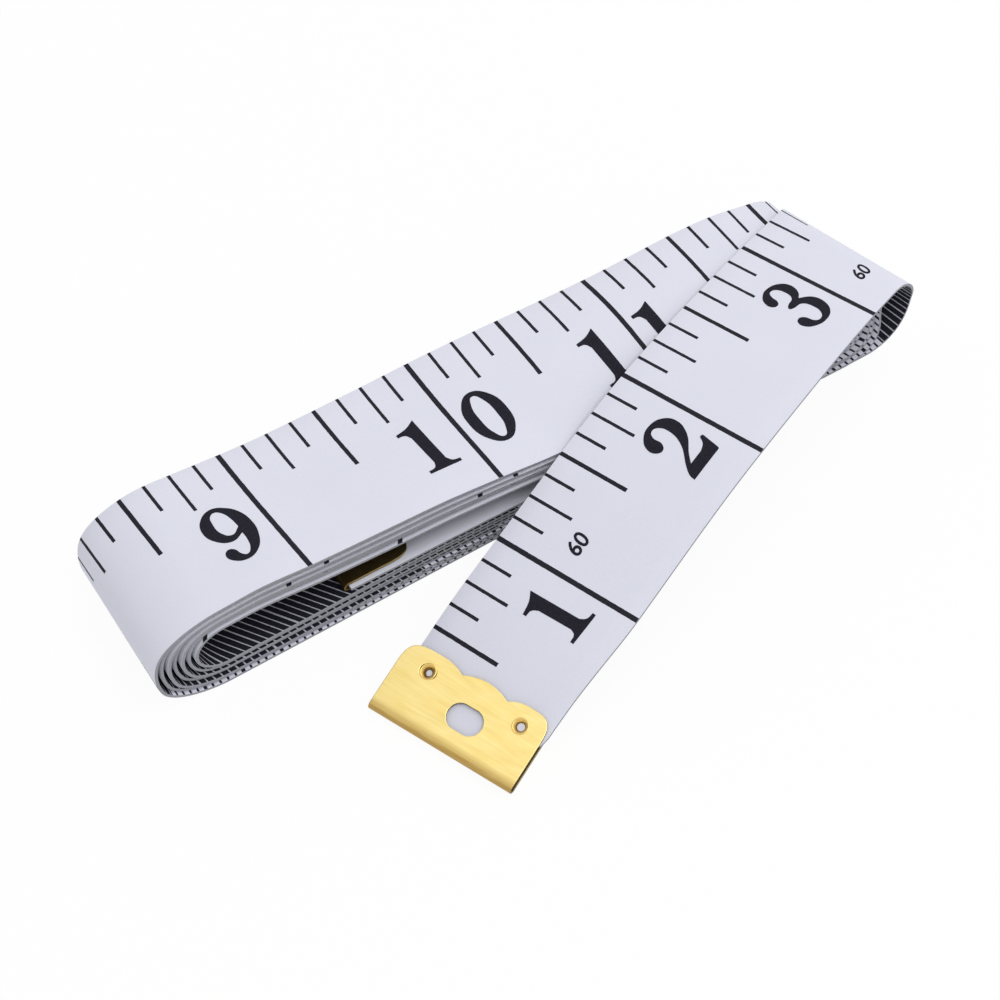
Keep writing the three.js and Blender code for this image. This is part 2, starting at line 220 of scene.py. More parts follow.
TIP_HEIGHT = TAPE_THICKNESS + 2 * TIP_SEAT + 2 * SHEET_THICKNESS
TIP_ROUND = TIP_HEIGHT / 2
TAPE_END_IN_TIP = SHEET_THICKNESS + 2 * TIP_SEAT
TURN_ROOM = COIL_HEIGHT - TIP_HEIGHT - 2 * TIP_SEAT - 2 * TAPE_THICKNESS
FULL_TURNS = int(TURN_ROOM / (2 * TURN_PITCH))
COIL_DEPTH = TURN_PITCH * FULL_TURNS + HALF
LEFT_FOLD_REACH = LEFT_CORE_REACH + COIL_DEPTH
RIGHT_FOLD_REACH = RIGHT_CORE_REACH + COIL_DEPTH
INNER_PLY_HEIGHT = COIL_HEIGHT / 2
INNER_FACE = CLOTH_THICKNESS - HALF
FOLD_SKEW = LEAF_TURN / 2
SKEW_ACROSS = TAPE_WIDTH * math.tan(FOLD_SKEW)
FOLD_NORMAL = Vector((math.cos(FOLD_SKEW), math.sin(FOLD_SKEW), 0))
FOLD_AXIS = Vector((-math.sin(FOLD_SKEW), math.cos(FOLD_SKEW), 0))
LEAF_HEIGHT = COIL_HEIGHT + REST_GAP + HALF
FOLD_HALF_HEIGHT = (LEAF_HEIGHT - HALF) / 2
END_FOLD_REACH = HALF + (
    RIGHT_FOLD_REACH + REST_GAP + SKEW_ACROSS - END_FOLD_LAG) * math.cos(FOLD_SKEW)
LEAF_DIRECTION = Vector((math.cos(LEAF_TURN), math.sin(LEAF_TURN), 0))
LEAF_ACROSS = Vector((-math.sin(LEAF_TURN), math.cos(LEAF_TURN), 0))

# The route is worked out from the middle of the coil's left fold on its near edge
COIL_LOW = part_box("tape_coil")[0]
ROUTE_ORIGIN = Vector((COIL_LOW.x / MM + LEFT_FOLD_REACH, COIL_LOW.y / MM, 0))

# A line across the band where it lies: its two ends in the middle of the cloth, the
# direction out of the inch face, how far along the print its two ends are, and its sag
Section = namedtuple("Section", "near far out s_near s_far sag", defaults=(0,))


def smooth(x):
    return x * x * (3 - 2 * x)


def ease(x, start, end):
    return smooth(min(1, max(0, (x - start) / (end - start))))


def through(knots, x):
    """The value at x of a smooth line through these knots, level beyond its ends."""
    if not knots[0][0] < x < knots[-1][0]:
        return knots[0 if x <= knots[0][0] else -1][1]
    i = next(k for k in range(len(knots) - 1) if x <= knots[k + 1][0])
    slopes = []
    for k in (i, i + 1):
        (x0, y0), (x1, y1) = knots[max(0, k - 1)], knots[min(k + 1, len(knots) - 1)]
        slopes.append((y1 - y0) / (x1 - x0))
    (x0, y0), (x1, y1) = knots[i:i + 2]
    step = x1 - x0
    t = (x - x0) / step
    bend = (slopes[0] * (1 - t) - slopes[1] * t) * step * t * (1 - t)
    return y0 + (y1 - y0) * smooth(t) + bend


def between(knots, x):
    """The value at x of the straight lines from knot to knot."""
    (x0, y0), (x1, y1) = next(pair for pair in zip(knots, knots[1:])
                              if x <= pair[1][0] or pair[1] is knots[-1])
    return y0 + (y1 - y0) * (x - x0) / (x1 - x0)


def facing(before, after, across):
    """The direction out of the inch face, from two spots along the band."""
    return (after - before).cross(across).normalized()


def strayed(turn):
    return SIDE_STEP * SIDE_STEP_SHARES[turn % len(SIDE_STEP_SHARES)]


def fold_length_to(angle):
    """Length of the end fold's outline from its top."""
    step = angle / LENGTH_STEPS
    return sum(
        math.hypot(END_FOLD_REACH * math.cos(step * (i + 0.5)),
                   FOLD_HALF_HEIGHT * math.sin(step * (i + 0.5)))
        for i in range(LENGTH_STEPS)) * step


FOLD_LENGTH = fold_length_to(math.pi)
FOLD_START = Vector((
    COIL_RUN + END_FOLD_LAG + FOLD_LENGTH * math.tan(FOLD_SKEW) * math.sin(FOLD_SKEW),
    FIRST_PLY_SIDE - FOLD_LENGTH * math.sin(FOLD_SKEW),
    LEAF_HEIGHT,
))
COIL_STARTS_AT = FREE_LENGTH + FOLD_LENGTH / math.cos(FOLD_SKEW)


def side_line():
    """The coil's outer side line: x, z, the direction out and the share of the right
    fold that is passed, from the lowest ply round to the end of the right fold."""
    line = [(COIL_RUN * (1 - i / PLY_STEPS), 0, 0, -1, 0) for i in range(PLY_STEPS + 1)]
    low = LEFT_FOLD_HEIGHT / 2
    for i in range(1, FOLD_STEPS + 1):
        a = math.pi * i / FOLD_STEPS
        line.append((-LEFT_FOLD_REACH * math.sin(a), low - low * math.cos(a),
                     -math.sin(a) / LEFT_FOLD_REACH, -math.cos(a) / low, 0))
    fall = LEFT_FOLD_HEIGHT - COIL_HEIGHT
    for i in range(1, DIP_STEPS + 1):
        share = i / DIP_STEPS
        slope = fall / DIP_RUN * 6 * share * (1 - share)
        line.append((DIP_RUN * share, LEFT_FOLD_HEIGHT - fall * smooth(share), slope, 1, 0))
    for i in range(1, PLY_STEPS + 1):
        x = DIP_RUN + (COIL_RUN - DIP_RUN) * i / PLY_STEPS
        line.append((x, COIL_HEIGHT, 0, 1, 0))
    high = COIL_HEIGHT / 2
    for i in range(1, FOLD_STEPS):
        a = math.pi * i / FOLD_STEPS
        line.append((COIL_RUN + RIGHT_FOLD_REACH * math.sin(a), high + high * math.cos(a),
                     math.sin(a) / RIGHT_FOLD_REACH, math.cos(a) / high, i / FOLD_STEPS))
    return line


def drawn_aside(x, z):
    """How far the lower plies have slid towards the near side here."""
    return -SIDE_DRAW * ease(x, COIL_RUN / 2, COIL_RUN) * (1 - ease(z, 0, COIL_HEIGHT / 2))


def squeezed(x, z, full):
    """The height to which the plies, which lie close together, take a point."""
    low = COIL_DEPTH * PLY_SQUEEZE
    high = full - low
    middle = low + (high - low) * (INNER_PLY_HEIGHT - COIL_DEPTH) / (full - 2 * COIL_DEPTH)
    middle -= INNER_DROP * (ease(x, *INNER_DROP_STARTS) - ease(x, *INNER_DROP_ENDS))
    return through(((0, 0), (COIL_DEPTH, low), (INNER_PLY_HEIGHT, middle),
                    (full - COIL_DEPTH, high), (full, full)), z)


def tightened(x):
    past = max(0, x - TIGHTENS_FROM) / (COIL_RUN + RIGHT_FOLD_REACH - TIGHTENS_FROM)
    return FAR_TIGHTENING * past ** 2


def settled(x, across, z):
    """A point of the coil at the height to which the band has sagged or risen there."""
    share = across / TAPE_WIDTH
    top = through(COIL_TOP_NEAR, x) * (1 - share) + through(COIL_TOP_FAR, x) * share
    full = LEFT_FOLD_HEIGHT - (LEFT_FOLD_HEIGHT - COIL_HEIGHT) * ease(x, 0, DIP_RUN)
    height = HALF + (squeezed(x, z, full) - HALF) * (top - HALF) / (full - HALF)
    height = z if z <= HALF else height
    aside = drawn_aside(x, height)
    x -= share * tightened(x)
    x *= LEFT_FOLD_STRETCH if x < 0 else 1
    return Vector((x, across + aside, height))


def coil_sections():
    """The whole coil, one unbroken spiral from the end fold in to the inner tip."""
    spots = [(COIL_RUN + END_FOLD_LAG, HALF, FIRST_PLY_SIDE, Vector((0, 0, -1)), SKEW_ACROSS)]
    for turn in range(FULL_TURNS + 1):
        before = strayed(turn - 1) if turn else FIRST_PLY_SIDE
        for i, (x, z, out_x, out_z, passed) in enumerate(side_line()):
            if turn == 0 and i == 0:
                continue
            if turn == FULL_TURNS and i > PLY_STEPS + FOLD_STEPS and x > INNER_FOLD_AT:
                break
            out = Vector((out_x, 0, out_z)).normalized()
            depth = HALF + TURN_PITCH * (turn + passed)
            side = before + (strayed(turn) - before) * min(1, i / PLY_STEPS)
            spots.append((x - out.x * depth, z - out.z * depth, side, out, 0))
    side = strayed(FULL_TURNS)
    radius = (COIL_HEIGHT - COIL_DEPTH - INNER_PLY_HEIGHT) / 2
    for i in range(CURVE_STEPS + 1):
        a = math.pi * i / CURVE_STEPS
        spots.append((INNER_FOLD_AT + radius * math.sin(a),
                      INNER_PLY_HEIGHT + radius + radius * math.cos(a), side,
                      Vector((math.sin(a), 0, math.cos(a))), 0))
    spots.append((INNER_END_AT + TAPE_END_IN_TIP, INNER_PLY_HEIGHT, side,
                  Vector((0, 0, -1)), 0))
    rows = []
    for x, z, side, out, skew in spots:
        aside = Vector((0, side, 0))
        rows.append((settled(x, 0, z) + aside, settled(x - skew, TAPE_WIDTH, z) + aside, out))
    inner_from = len(rows) - CURVE_STEPS - 2
    sections = []
    starts = [COIL_STARTS_AT + PRINT_AHEAD, COIL_STARTS_AT + PRINT_AHEAD + SKEW_ACROSS]
    lengths = starts[:]
    for i, (near, far, out) in enumerate(rows):
        if i:
            lengths[0] += (near - rows[i - 1][0]).length
            lengths[1] += (far - rows[i - 1][1]).length
        if 0 < i < len(rows) - 1:
            spots = [(rows[k][0] + rows[k][1]) / 2 for k in (i - 1, i + 1)]
            out = facing(*spots, far - near)
        share = min(1, (lengths[0] - starts[0]) / COIL_RUN)
        spots = [length - slip * share for length, slip in zip(lengths, PRINT_SLIPS)]
        sag = through(COIL_SAG, near.x) * near.z / COIL_HEIGHT if i < inner_from else 0
        sections.append(Section(near, far, out, *spots, sag))
    return sections


def end_fold_section(a):
    leaf_end = leaf_section(FREE_LENGTH, FREE_LENGTH + SKEW_ACROSS)
    if a == 0:
        return leaf_end

    def edges(angle):
        along = FOLD_AXIS * fold_length_to(angle) * math.tan(FOLD_SKEW)
        near = FOLD_START + FOLD_NORMAL * END_FOLD_REACH * math.sin(angle) + along
        far = near + FOLD_AXIS * TAPE_WIDTH / math.cos(FOLD_SKEW)
        far -= FOLD_NORMAL * FAR_TIGHTENING * math.sin(angle)
        upper = (1 + math.cos(angle)) / 2
        far.x -= tightened(COIL_RUN + END_FOLD_LAG - SKEW_ACROSS) * (1 - upper)
        for point, top, sag in zip((near, far), leaf_end[:2], FOLD_SAGS):
            drop = (FOLD_DROP + sag * math.sin(angle)) * math.sin(angle) * upper
            point.z = HALF + (top.z - HALF) * upper - drop
            point.y += drawn_aside(COIL_RUN, point.z)
        return near, far

    near, far = edges(a)
    before, after = (sum(edges(a + step), Vector()) / 2 for step in (-TURN_STEP, TURN_STEP))
    s = FREE_LENGTH + PRINT_AHEAD + fold_length_to(a) / math.cos(FOLD_SKEW)
    return Section(near, far, facing(before, after, far - near), s, s + SKEW_ACROSS)


def fold_stretch(number):
    """One stretch of the end fold, counted from the coil up to the free end."""
    top = math.pi * (1 - number / FOLD_STRETCHES)
    low = math.pi * (1 - (number - 1) / FOLD_STRETCHES)
    return [end_fold_section(top + (low - top) * i / STRETCH_STEPS)
            for i in range(STRETCH_STEPS + 1)]


# The free end stands on its tip's folded edge, climbs, and bends level over the coil
CROSS_RUN = (FOLD_START.y + TAPE_WIDTH * math.cos(LEAF_TURN)) / math.sin(LEAF_TURN)
BEND_START = FREE_LENGTH - CROSS_RUN + CLIMB_PAST - CLIMB_BEND
BEND_END = BEND_START + BEND_RUN
TIP_SLOPE = LEAF_SLOPE[0][1]


def run_at(s):
    """How far along and how far up the free end has come at this length."""
    steps = [s * (i + 0.5) / LENGTH_STEPS for i in range(LENGTH_STEPS)]
    along = sum(math.cos(through(LEAF_SLOPE, x)) for x in steps) * s / LENGTH_STEPS
    up = sum(math.sin(through(LEAF_SLOPE, x)) for x in steps) * s / LENGTH_STEPS
    return along, up


TIP_PLACE = FOLD_START - LEAF_DIRECTION * run_at(FREE_LENGTH)[0]
TIP_PLACE.z = TIP_ROUND * (1 - math.sin(TIP_SLOPE)) - TAPE_WIDTH * LEAF_ROLL


def leaf_section(s_near, s_far=None):
    s_far = s_near if s_far is None else s_far

    def place(s, across):
        along, up = run_at(s)
        point = TIP_PLACE + LEAF_DIRECTION * along
        spread = LEAF_SPREAD * (1 - ease(s, BEND_END, FREE_LENGTH))
        spread -= CORNER_CLIP * (1 - ease(s, *CLIP_ENDS))
        if across < TAPE_WIDTH / 2:
            spread -= NEAR_DRAW * (1 - ease(s, *NEAR_DRAW_ENDS))
        across += spread * (2 * across / TAPE_WIDTH - 1)
        point += LEAF_ACROSS * across
        point.z = TIP_PLACE.z + up + across * LEAF_ROLL
        return point

    near, far = place(s_near, 0), place(s_far, TAPE_WIDTH)
    slope = through(LEAF_SLOPE, s_near)
    ahead = LEAF_DIRECTION * math.cos(slope)
    ahead.z = math.sin(slope)
    out = facing(Vector(), ahead, far - near)
    return Section(near, far, out, s_near + PRINT_AHEAD, s_far + PRINT_AHEAD)


def leaf_sections(start, end, steps, skew=0):
    rest = end - start
    return [leaf_section(start + rest * i / steps, start + (rest + skew) * i / steps)
            for i in range(steps + 1)]


def zero_end_sections():
    return leaf_sections(TAPE_END_IN_TIP, BEND_START, BEND_STEPS)


def bend_sections():
    return leaf_sections(BEND_START, BEND_END, BEND_STEPS)


def free_end_sections():
    return leaf_sections(BEND_END, FREE_LENGTH, BEND_STEPS, SKEW_ACROSS)


SAG_SHAPE = [(k / COLUMNS, math.sin(math.pi * (k / COLUMNS) ** SAG_LEAN))
             for k in range(COLUMNS + 1)]


def mixed(section, share):
    """The middle of the cloth and the print's length at a share of the way across."""
    s = section.s_near + (section.s_far - section.s_near) * share
    point = section.near.lerp(section.far, share)
    if section.sag:
        point.z -= section.sag * between(SAG_SHAPE, share)
    return point, s


def placed(sections, s, across, height):
    """Where a point of the flat band lies, at this height over the middle of the cloth."""
    share = across / TAPE_WIDTH
    spots = [mixed(section, share) for section in sections]
    last = len(spots) - 2
    i = next((k for k in range(last) if s <= spots[k + 1][1]), last)
    (start, s_start), (end, s_end) = spots[i], spots[i + 1]
    t = (s - s_start) / (s_end - s_start)
    out = sections[i].out.lerp(sections[i + 1].out, t).normalized()
    return (start.lerp(end, t) + out * height + ROUTE_ORIGIN) * MM


def finished(name, bm, materials, smooth_angle=CLOTH_SMOOTH_ANGLE):
    """A mesh object at the origin, with its sharp edges marked."""
    for edge in bm.edges:
        edge.smooth = len(edge.link_faces) == 2 and edge.calc_face_angle(0) < smooth_angle
    for face in bm.faces:
        face.smooth = True
    mesh = bpy.data.meshes.new(name)
    bm.to_mesh(mesh)
    bm.free()
    for material in materials:
        mesh.materials.append(material)
    piece = bpy.data.objects.new(name, mesh)
    bpy.context.scene.collection.objects.link(piece)
    return piece


def carried(piece, bodies, ends=None):
    """Makes a piece ride on one body. A piece between two bodies is only fixed where it lies, with
    its transform baked in.
    """
    if len(bodies) == 1:
        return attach(piece, bodies[0])
    first, last = ends
    start, end = ((s.near + s.far) / 2 for s in (first, last))
    across = (first.far - first.near).normalized()
    end -= across * (end - start).dot(across)
    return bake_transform(piece, *bodies, start=(start + ROUTE_ORIGIN) * MM,
                    end=(end + ROUTE_ORIGIN) * MM)


def whole(bm):
    return bm.verts[:] + bm.edges[:] + bm.faces[:]


def thickened(bm, faces, height):
    """Pulls these faces up into a slab, and returns its new upper faces."""
    made = bmesh.ops.extrude_face_region(bm, geom=faces)["geom"]
    raised = [item for item in made if isinstance(item, bmesh.types.BMVert)]
    bmesh.ops.translate(bm, vec=(0, 0, height), verts=raised)
    return [item for item in made if isinstance(item, bmesh.types.BMFace)]


def cloth_strip(name, sections, materials):
    """A stretch of the band: a flat slab with round long edges, laid on its sections."""
    rows = len(sections) - 1
    bm = bmesh.new()
    bmesh.ops.create_grid(bm, x_segments=rows, y_segments=COLUMNS, size=0.5)
    flat = Matrix.Translation((rows / 2, TAPE_WIDTH / 2, -INNER_FACE))
    flat @= Matrix.Diagonal((rows, TAPE_WIDTH, 1, 1))
    bmesh.ops.transform(bm, matrix=flat, verts=bm.verts)
    under = bm.faces[:]
    upper = thickened(bm, under, CLOTH_THICKNESS)
    for face in bm.faces:
        face.material_index = 2
    for face in under:
        face.material_index = 1
    for face in upper:
        face.material_index = 0
    bmesh.ops.recalc_face_normals(bm, faces=bm.faces)
    long_edges = [
        edge for edge in bm.edges
        if edge.calc_face_angle(0) > 1
        and abs(edge.verts[0].co.y - edge.verts[1].co.y) < EDGE_ROUND
        and abs(edge.verts[0].co.z - edge.verts[1].co.z) < EDGE_ROUND]
    bmesh.ops.bevel(bm, geom=long_edges, offset=EDGE_ROUND, segments=2, profile=0.5,
                    affect="EDGES", material=-1)
    uv = bm.loops.layers.uv.new("tape")
    for face in bm.faces:
        for loop in face.loops:
            across = min(TAPE_WIDTH, max(0, loop.vert.co.y))
            _, s = mixed(sections[round(loop.vert.co.x)], across / TAPE_WIDTH)
            loop[uv].uv = (s * MM, across * MM)
    for vert in bm.verts:
        section = sections[round(vert.co.x)]
        point, _ = mixed(section, vert.co.y / TAPE_WIDTH)
        vert.co = (point + section.out * vert.co.z + ROUTE_ORIGIN) * MM
    return finished(name, bm, materials)


# Outlines of the figures, in millimetres from their left foot. A point with a third
# value is a corner, and the others lie on smooth curves.
FIGURE_ONE = [[
    (0, 0, 1), (4.2, 0, 1), (4.25, 0.42, 1), (3.3, 0.62), (2.85, 1.25, 1), (2.75, 7.85, 1),
    (1.55, 7.2), (-0.1, 6.85, 1), (-0.1, 6.42, 1), (0.75, 6.3), (1.2, 5.6, 1),
    (1.3, 1.25, 1), (0.95, 0.62), (0.0, 0.42, 1)]]
FIGURE_TWO = [[
    (0, 0, 1), (4.95, 0, 1), (5.1, 0.12, 1), (5.55, 2.45, 1), (5.45, 2.62, 1),
    (5.1, 2.62, 1), (4.55, 1.9), (3.6, 1.5, 1), (1.55, 1.5, 1), (2.5, 2.4), (4.7, 4.15),
    (5.5, 6.1), (4.9, 7.5), (3.2, 8.25), (1.4, 7.85), (0.35, 6.6), (0.45, 5.6), (1.2, 5.1),
    (1.95, 5.7), (2.05, 7.0), (2.7, 7.6), (3.5, 7.2), (3.75, 5.6), (3.0, 3.8), (0.9, 1.7),
    (0.15, 0.7)]]
FIGURE_THREE = [[
    (2.4, 8.45), (4.4, 7.65), (5.0, 6.3), (4.5, 5.05), (3.75, 4.55, 1), (5.0, 3.3),
    (5.15, 1.7), (4.3, 0.4), (2.8, 0), (1.3, 0.4), (0.25, 1.4), (0.2, 2.4), (0.8, 2.75),
    (1.4, 2.4), (1.85, 0.95), (2.5, 0.65), (3.3, 1.05), (3.65, 2.4), (3.2, 3.75),
    (1.9, 4.15), (1.5, 4.5), (1.9, 4.88), (3.2, 5.2), (3.55, 6.4), (3.1, 7.6), (2.4, 7.8),
    (1.9, 7.2), (1.65, 6.2), (1.1, 5.9), (0.45, 6.4), (0.6, 7.5), (1.4, 8.2)]]
FIGURE_FOUR = [
    [(2.5, 0, 1), (5.4, 0, 1), (5.4, 0.42, 1), (4.8, 0.7, 1), (4.75, 1.9, 1), (5.7, 1.9, 1),
     (5.7, 2.75, 1), (4.75, 2.75, 1), (4.75, 8.1, 1), (3.75, 8.1, 1), (0, 2.6, 1),
     (0, 1.9, 1), (3.15, 1.9, 1), (3.1, 0.7, 1), (2.5, 0.42, 1)],
    [(3.15, 2.75, 1), (3.15, 6.0, 1), (0.95, 2.75, 1)]]
FIGURE_FIVE = [[
    (0.8, 8.1, 1), (5.0, 8.1, 1), (4.6, 6.6, 1), (1.5, 6.6, 1), (1.4, 4.95, 1), (2.9, 5.3),
    (4.7, 4.6), (5.3, 2.8), (4.7, 0.9), (2.8, -0.05), (0.9, 0.4), (0.15, 1.6), (0.9, 2.55),
    (1.75, 1.9), (1.95, 0.95), (2.7, 0.6), (3.5, 1.3), (3.7, 2.7), (3.2, 4.2), (2.3, 4.55),
    (1.1, 4.0, 1), (0.65, 4.05, 1)]]
FIGURE_SEVEN = [[
    (0.1, 5.8, 1), (0.45, 5.8, 1), (0.9, 6.5), (1.7, 6.7, 1), (4.0, 6.7, 1), (2.6, 4.6),
    (1.75, 2.4), (1.65, 0.7), (2.5, -0.1), (3.35, 0.7), (3.45, 2.6), (4.1, 4.8),
    (5.4, 7.4, 1), (5.4, 8.1, 1), (0.35, 8.1, 1)]]
FIGURE_EIGHT = [
    [(2.8, 8.25), (4.6, 7.6), (5.1, 6.2), (4.25, 4.65), (5.3, 3.3), (5.3, 1.7), (4.3, 0.3),
     (2.7, -0.05), (1.0, 0.4), (0.2, 1.9), (0.6, 3.3), (1.5, 4.2), (0.6, 5.4), (0.75, 7.0)],
    [(2.85, 7.6), (3.65, 6.6), (3.35, 5.1), (2.2, 5.7), (1.95, 6.9)],
    [(2.3, 3.95), (3.75, 2.9), (3.85, 1.4), (2.8, 0.6), (1.65, 1.3), (1.6, 2.9)]]
FIGURE_NINE = [
    [(2.6, 8.25), (3.9, 7.8), (5.1, 6.6), (5.6, 4.4), (5.2, 2.5), (4.1, 0.8), (2.3, 0),
     (0.9, 0.55), (0.45, 1.5), (1.05, 2.2), (1.75, 1.9), (2.1, 1.0), (2.6, 0.65),
     (3.3, 1.2), (3.75, 2.6), (3.8, 3.65, 1), (2.2, 3.0), (0.7, 3.8), (0, 5.6),
     (0.8, 7.4)],
    [(2.65, 7.65), (3.4, 7.1), (3.8, 5.9), (3.9, 4.65, 1), (2.6, 3.85), (1.75, 4.6),
     (1.65, 6.4), (1.95, 7.3)]]


def oval(middle, half_width, half_height, steps=8):
    turns = [2 * math.pi * i / steps for i in range(steps)]
    return [(middle[0] + half_width * math.cos(a), middle[1] + half_height * math.sin(a))
            for a in turns]


def turned_over(loops, width, height):
    """A figure turned by half a turn in its place."""
    return [[(width - p[0], height - p[1], *p[2:]) for p in loop] for loop in loops]


FIGURE_ZERO = [oval((2.65, 3.9), 2.65, 3.9), oval((2.65, 3.9), 1.15, 3.25)]
FIGURES = {
    "0": FIGURE_ZERO, "1": FIGURE_ONE, "2": FIGURE_TWO, "3": FIGURE_THREE,
    "4": FIGURE_FOUR, "5": FIGURE_FIVE, "6": turned_over(FIGURE_NINE, 5.6, 8.25),
    "7": FIGURE_SEVEN, "8": FIGURE_EIGHT, "9": FIGURE_NINE,
}


def figure_width(figure):
    return max(p[0] for p in FIGURES[figure][0])


def flat_fill(loops, smooth_points=True):
    """A flat mesh that fills these outlines, with holes where one lies in another."""
    curve = bpy.data.curves.new("outline", "CURVE")
    curve.dimensions = "2D"
    curve.fill_mode = "BOTH"
    curve.resolution_u = 5
    for loop in loops:
        if smooth_points:
            spline = curve.splines.new("BEZIER")
            spline.bezier_points.add(len(loop) - 1)
            for point, spot in zip(spline.bezier_points, loop):
                point.co = (spot[0], spot[1], 0)
                kind = "VECTOR" if len(spot) == 3 else "AUTO"
                point.handle_left_type = point.handle_right_type = kind
        else:
            spline = curve.splines.new("POLY")
            spline.points.add(len(loop) - 1)
            for point, spot in zip(spline.points, loop):
                point.co = (spot[0], spot[1], 0, 1)
        spline.use_cyclic_u = True
    holder = bpy.data.objects.new("outline", curve)
    return mesh_of(holder)


def mesh_of(holder):
    """The mesh of a curve or text object, which is then removed."""
    bpy.context.scene.collection.objects.link(holder)
    bpy.context.view_layer.update()
    shown = holder.evaluated_get(bpy.context.evaluated_depsgraph_get())
    mesh = bpy.data.meshes.new_from_object(shown)
    data = holder.data
    bpy.data.objects.remove(holder)
    bpy.data.curves.remove(data)
    return mesh


def length_mark():
    """The small number of inches that the tape is long."""
    text = bpy.data.curves.new("length", "FONT")
    text.body = str(round(TAPE_LENGTH / INCH))
    text.size = LENGTH_MARK_HEIGHT
    text.shear = LENGTH_MARK_SHEAR
    text.offset = LENGTH_MARK_WEIGHT
    text.resolution_u = 4
    return mesh_of(bpy.data.objects.new("length", text))


def numeral_meshes(number, scale=1):
    """The figures of a number on both sides of its line, each with its place along the
    tape from that line."""
    figures = str(number)
    split, aside = (1, NUMERAL_ASIDE_OF_TWO) if len(figures) == 2 else (
        len(figures), NUMERAL_ASIDE)
    spots = []
    x = -aside * scale
    for figure in reversed(figures[:split]):
        x -= figure_width(figure) * scale
        spots.append((figure, x))
        x -= NUMERAL_STEP * scale
    x = NUMERAL_ASIDE * scale * BEYOND_LINE_SHARE
    for figure in figures[split:]:
        spots.append((figure, x))
        x += (figure_width(figure) + NUMERAL_STEP) * scale
    return [(flat_fill(FIGURES[figure]), place) for figure, place in spots]


def inked(name, sections, marks, material, face=1):
    """Ink on one face of a stretch. Each mark is a flat mesh with its place along and
    across the tape and its scale. None is made where no mark lies on the stretch."""
    bm = bmesh.new()
    for mesh, s, across, scale in marks:
        part = bmesh.new()
        part.from_mesh(mesh)
        bmesh.ops.remove_doubles(part, verts=part.verts, dist=MERGE_WITHIN)
        place = Matrix.Translation((s, across, 0)) @ Matrix.Diagonal((scale, scale * face, 1, 1))
        bmesh.ops.transform(part, matrix=place, verts=part.verts)
        flat = bpy.data.meshes.new("mark")
        part.to_mesh(flat)
        part.free()
        bm.from_mesh(flat)
        bpy.data.meshes.remove(flat)
    if not bm.verts:
        bm.free()
        return None
    low = min(vert.co.x for vert in bm.verts) - 2 * INCH
    high = max(vert.co.x for vert in bm.verts) + 2 * INCH
    sections = [q for q in sections if low < q.s_near < high]
    cuts = [(Vector((q.s_near, 0, 0)), Vector((TAPE_WIDTH, q.s_near - q.s_far, 0)))
            for q in sections]
    for (spot, normal), ends in ((cuts[0], (False, True)), (cuts[-1], (True, False))):
        bmesh.ops.bisect_plane(bm, geom=whole(bm), plane_co=spot, plane_no=normal,
                               clear_outer=ends[0], clear_inner=ends[1])
    if not bm.faces:
        bm.free()
        return None
    columns = [(Vector((0, TAPE_WIDTH * k / COLUMNS, 0)), Vector((0, 1, 0)))
               for k in range(1, COLUMNS)]
    for spot, normal in cuts[1:-1] + columns:
        bmesh.ops.bisect_plane(bm, geom=whole(bm), plane_co=spot, plane_no=normal)
    thickened(bm, bm.faces[:], 1)
    for vert in bm.verts:
        lift = INK_LIFT if vert.co.z > 0.5 else INK_LIFT - INK_DEPTH
        height = HALF + lift if face > 0 else -INNER_FACE - lift
        vert.co = placed(sections, vert.co.x, vert.co.y, height)
    bmesh.ops.recalc_face_normals(bm, faces=bm.faces)
    return finished(name, bm, [material])


class Value:
    """A number that a shader works out, for sums."""

    def __init__(self, finish, socket):
        self.finish = finish
        self.socket = socket

    def sum(self, operation, *others):
        settings = {"operation": operation}
        node = self.finish.node("ShaderNodeMath", settings, *others)
        return Value(self.finish, node.outputs[0])

    def __add__(self, other):
        return self.sum("ADD", self, other)

    __radd__ = __add__

    def __sub__(self, other):
        return self.sum("SUBTRACT", self, other)

    def __rsub__(self, other):
        return self.sum("SUBTRACT", other, self)

    def __mul__(self, other):
        return self.sum("MULTIPLY", self, other)

    __rmul__ = __mul__

    def __truediv__(self, other):
        return self.sum("DIVIDE", self, other)

    def __lt__(self, other):
        return self.sum("LESS_THAN", self, other)

    def __gt__(self, other):
        return self.sum("GREATER_THAN", self, other)

    def over(self, other):
        return self.sum("MAXIMUM", self, other)

    def under(self, other):
        return self.sum("MINIMUM", self, other)

    def from_multiple(self, step):
        """Distance to the nearest multiple of a step."""
        return self.sum("PINGPONG", self, step / 2)


class Nodes:
    """A node tree, with one way to make its nodes."""

    def __init__(self, tree):
        self.tree = tree

    def node(self, kind, settings=None, *values, **named):
        node = self.tree.nodes.new(kind)
        for key, value in (settings or {}).items():
            setattr(node, key, value)
        for key, value in [*enumerate(values), *named.items()]:
            socket = node.inputs[key.replace("_", " ") if isinstance(key, str) else key]
            self.feed(socket, value)
        return node

    def feed(self, socket, value):
        if isinstance(value, Value):
            value = value.socket
        if isinstance(value, bpy.types.NodeSocket):
            self.tree.links.new(value, socket)
        else:
            socket.default_value = value

    def seen_directly(self):
        """1 for what the camera sees, also in a mirror or through glass."""
        rays = self.node("ShaderNodeLightPath").outputs
        camera, glossy, clear = (Value(self, rays[f"Is {kind} Ray"])
                                 for kind in ("Camera", "Glossy", "Transmission"))
        return (camera + glossy + clear).under(1)


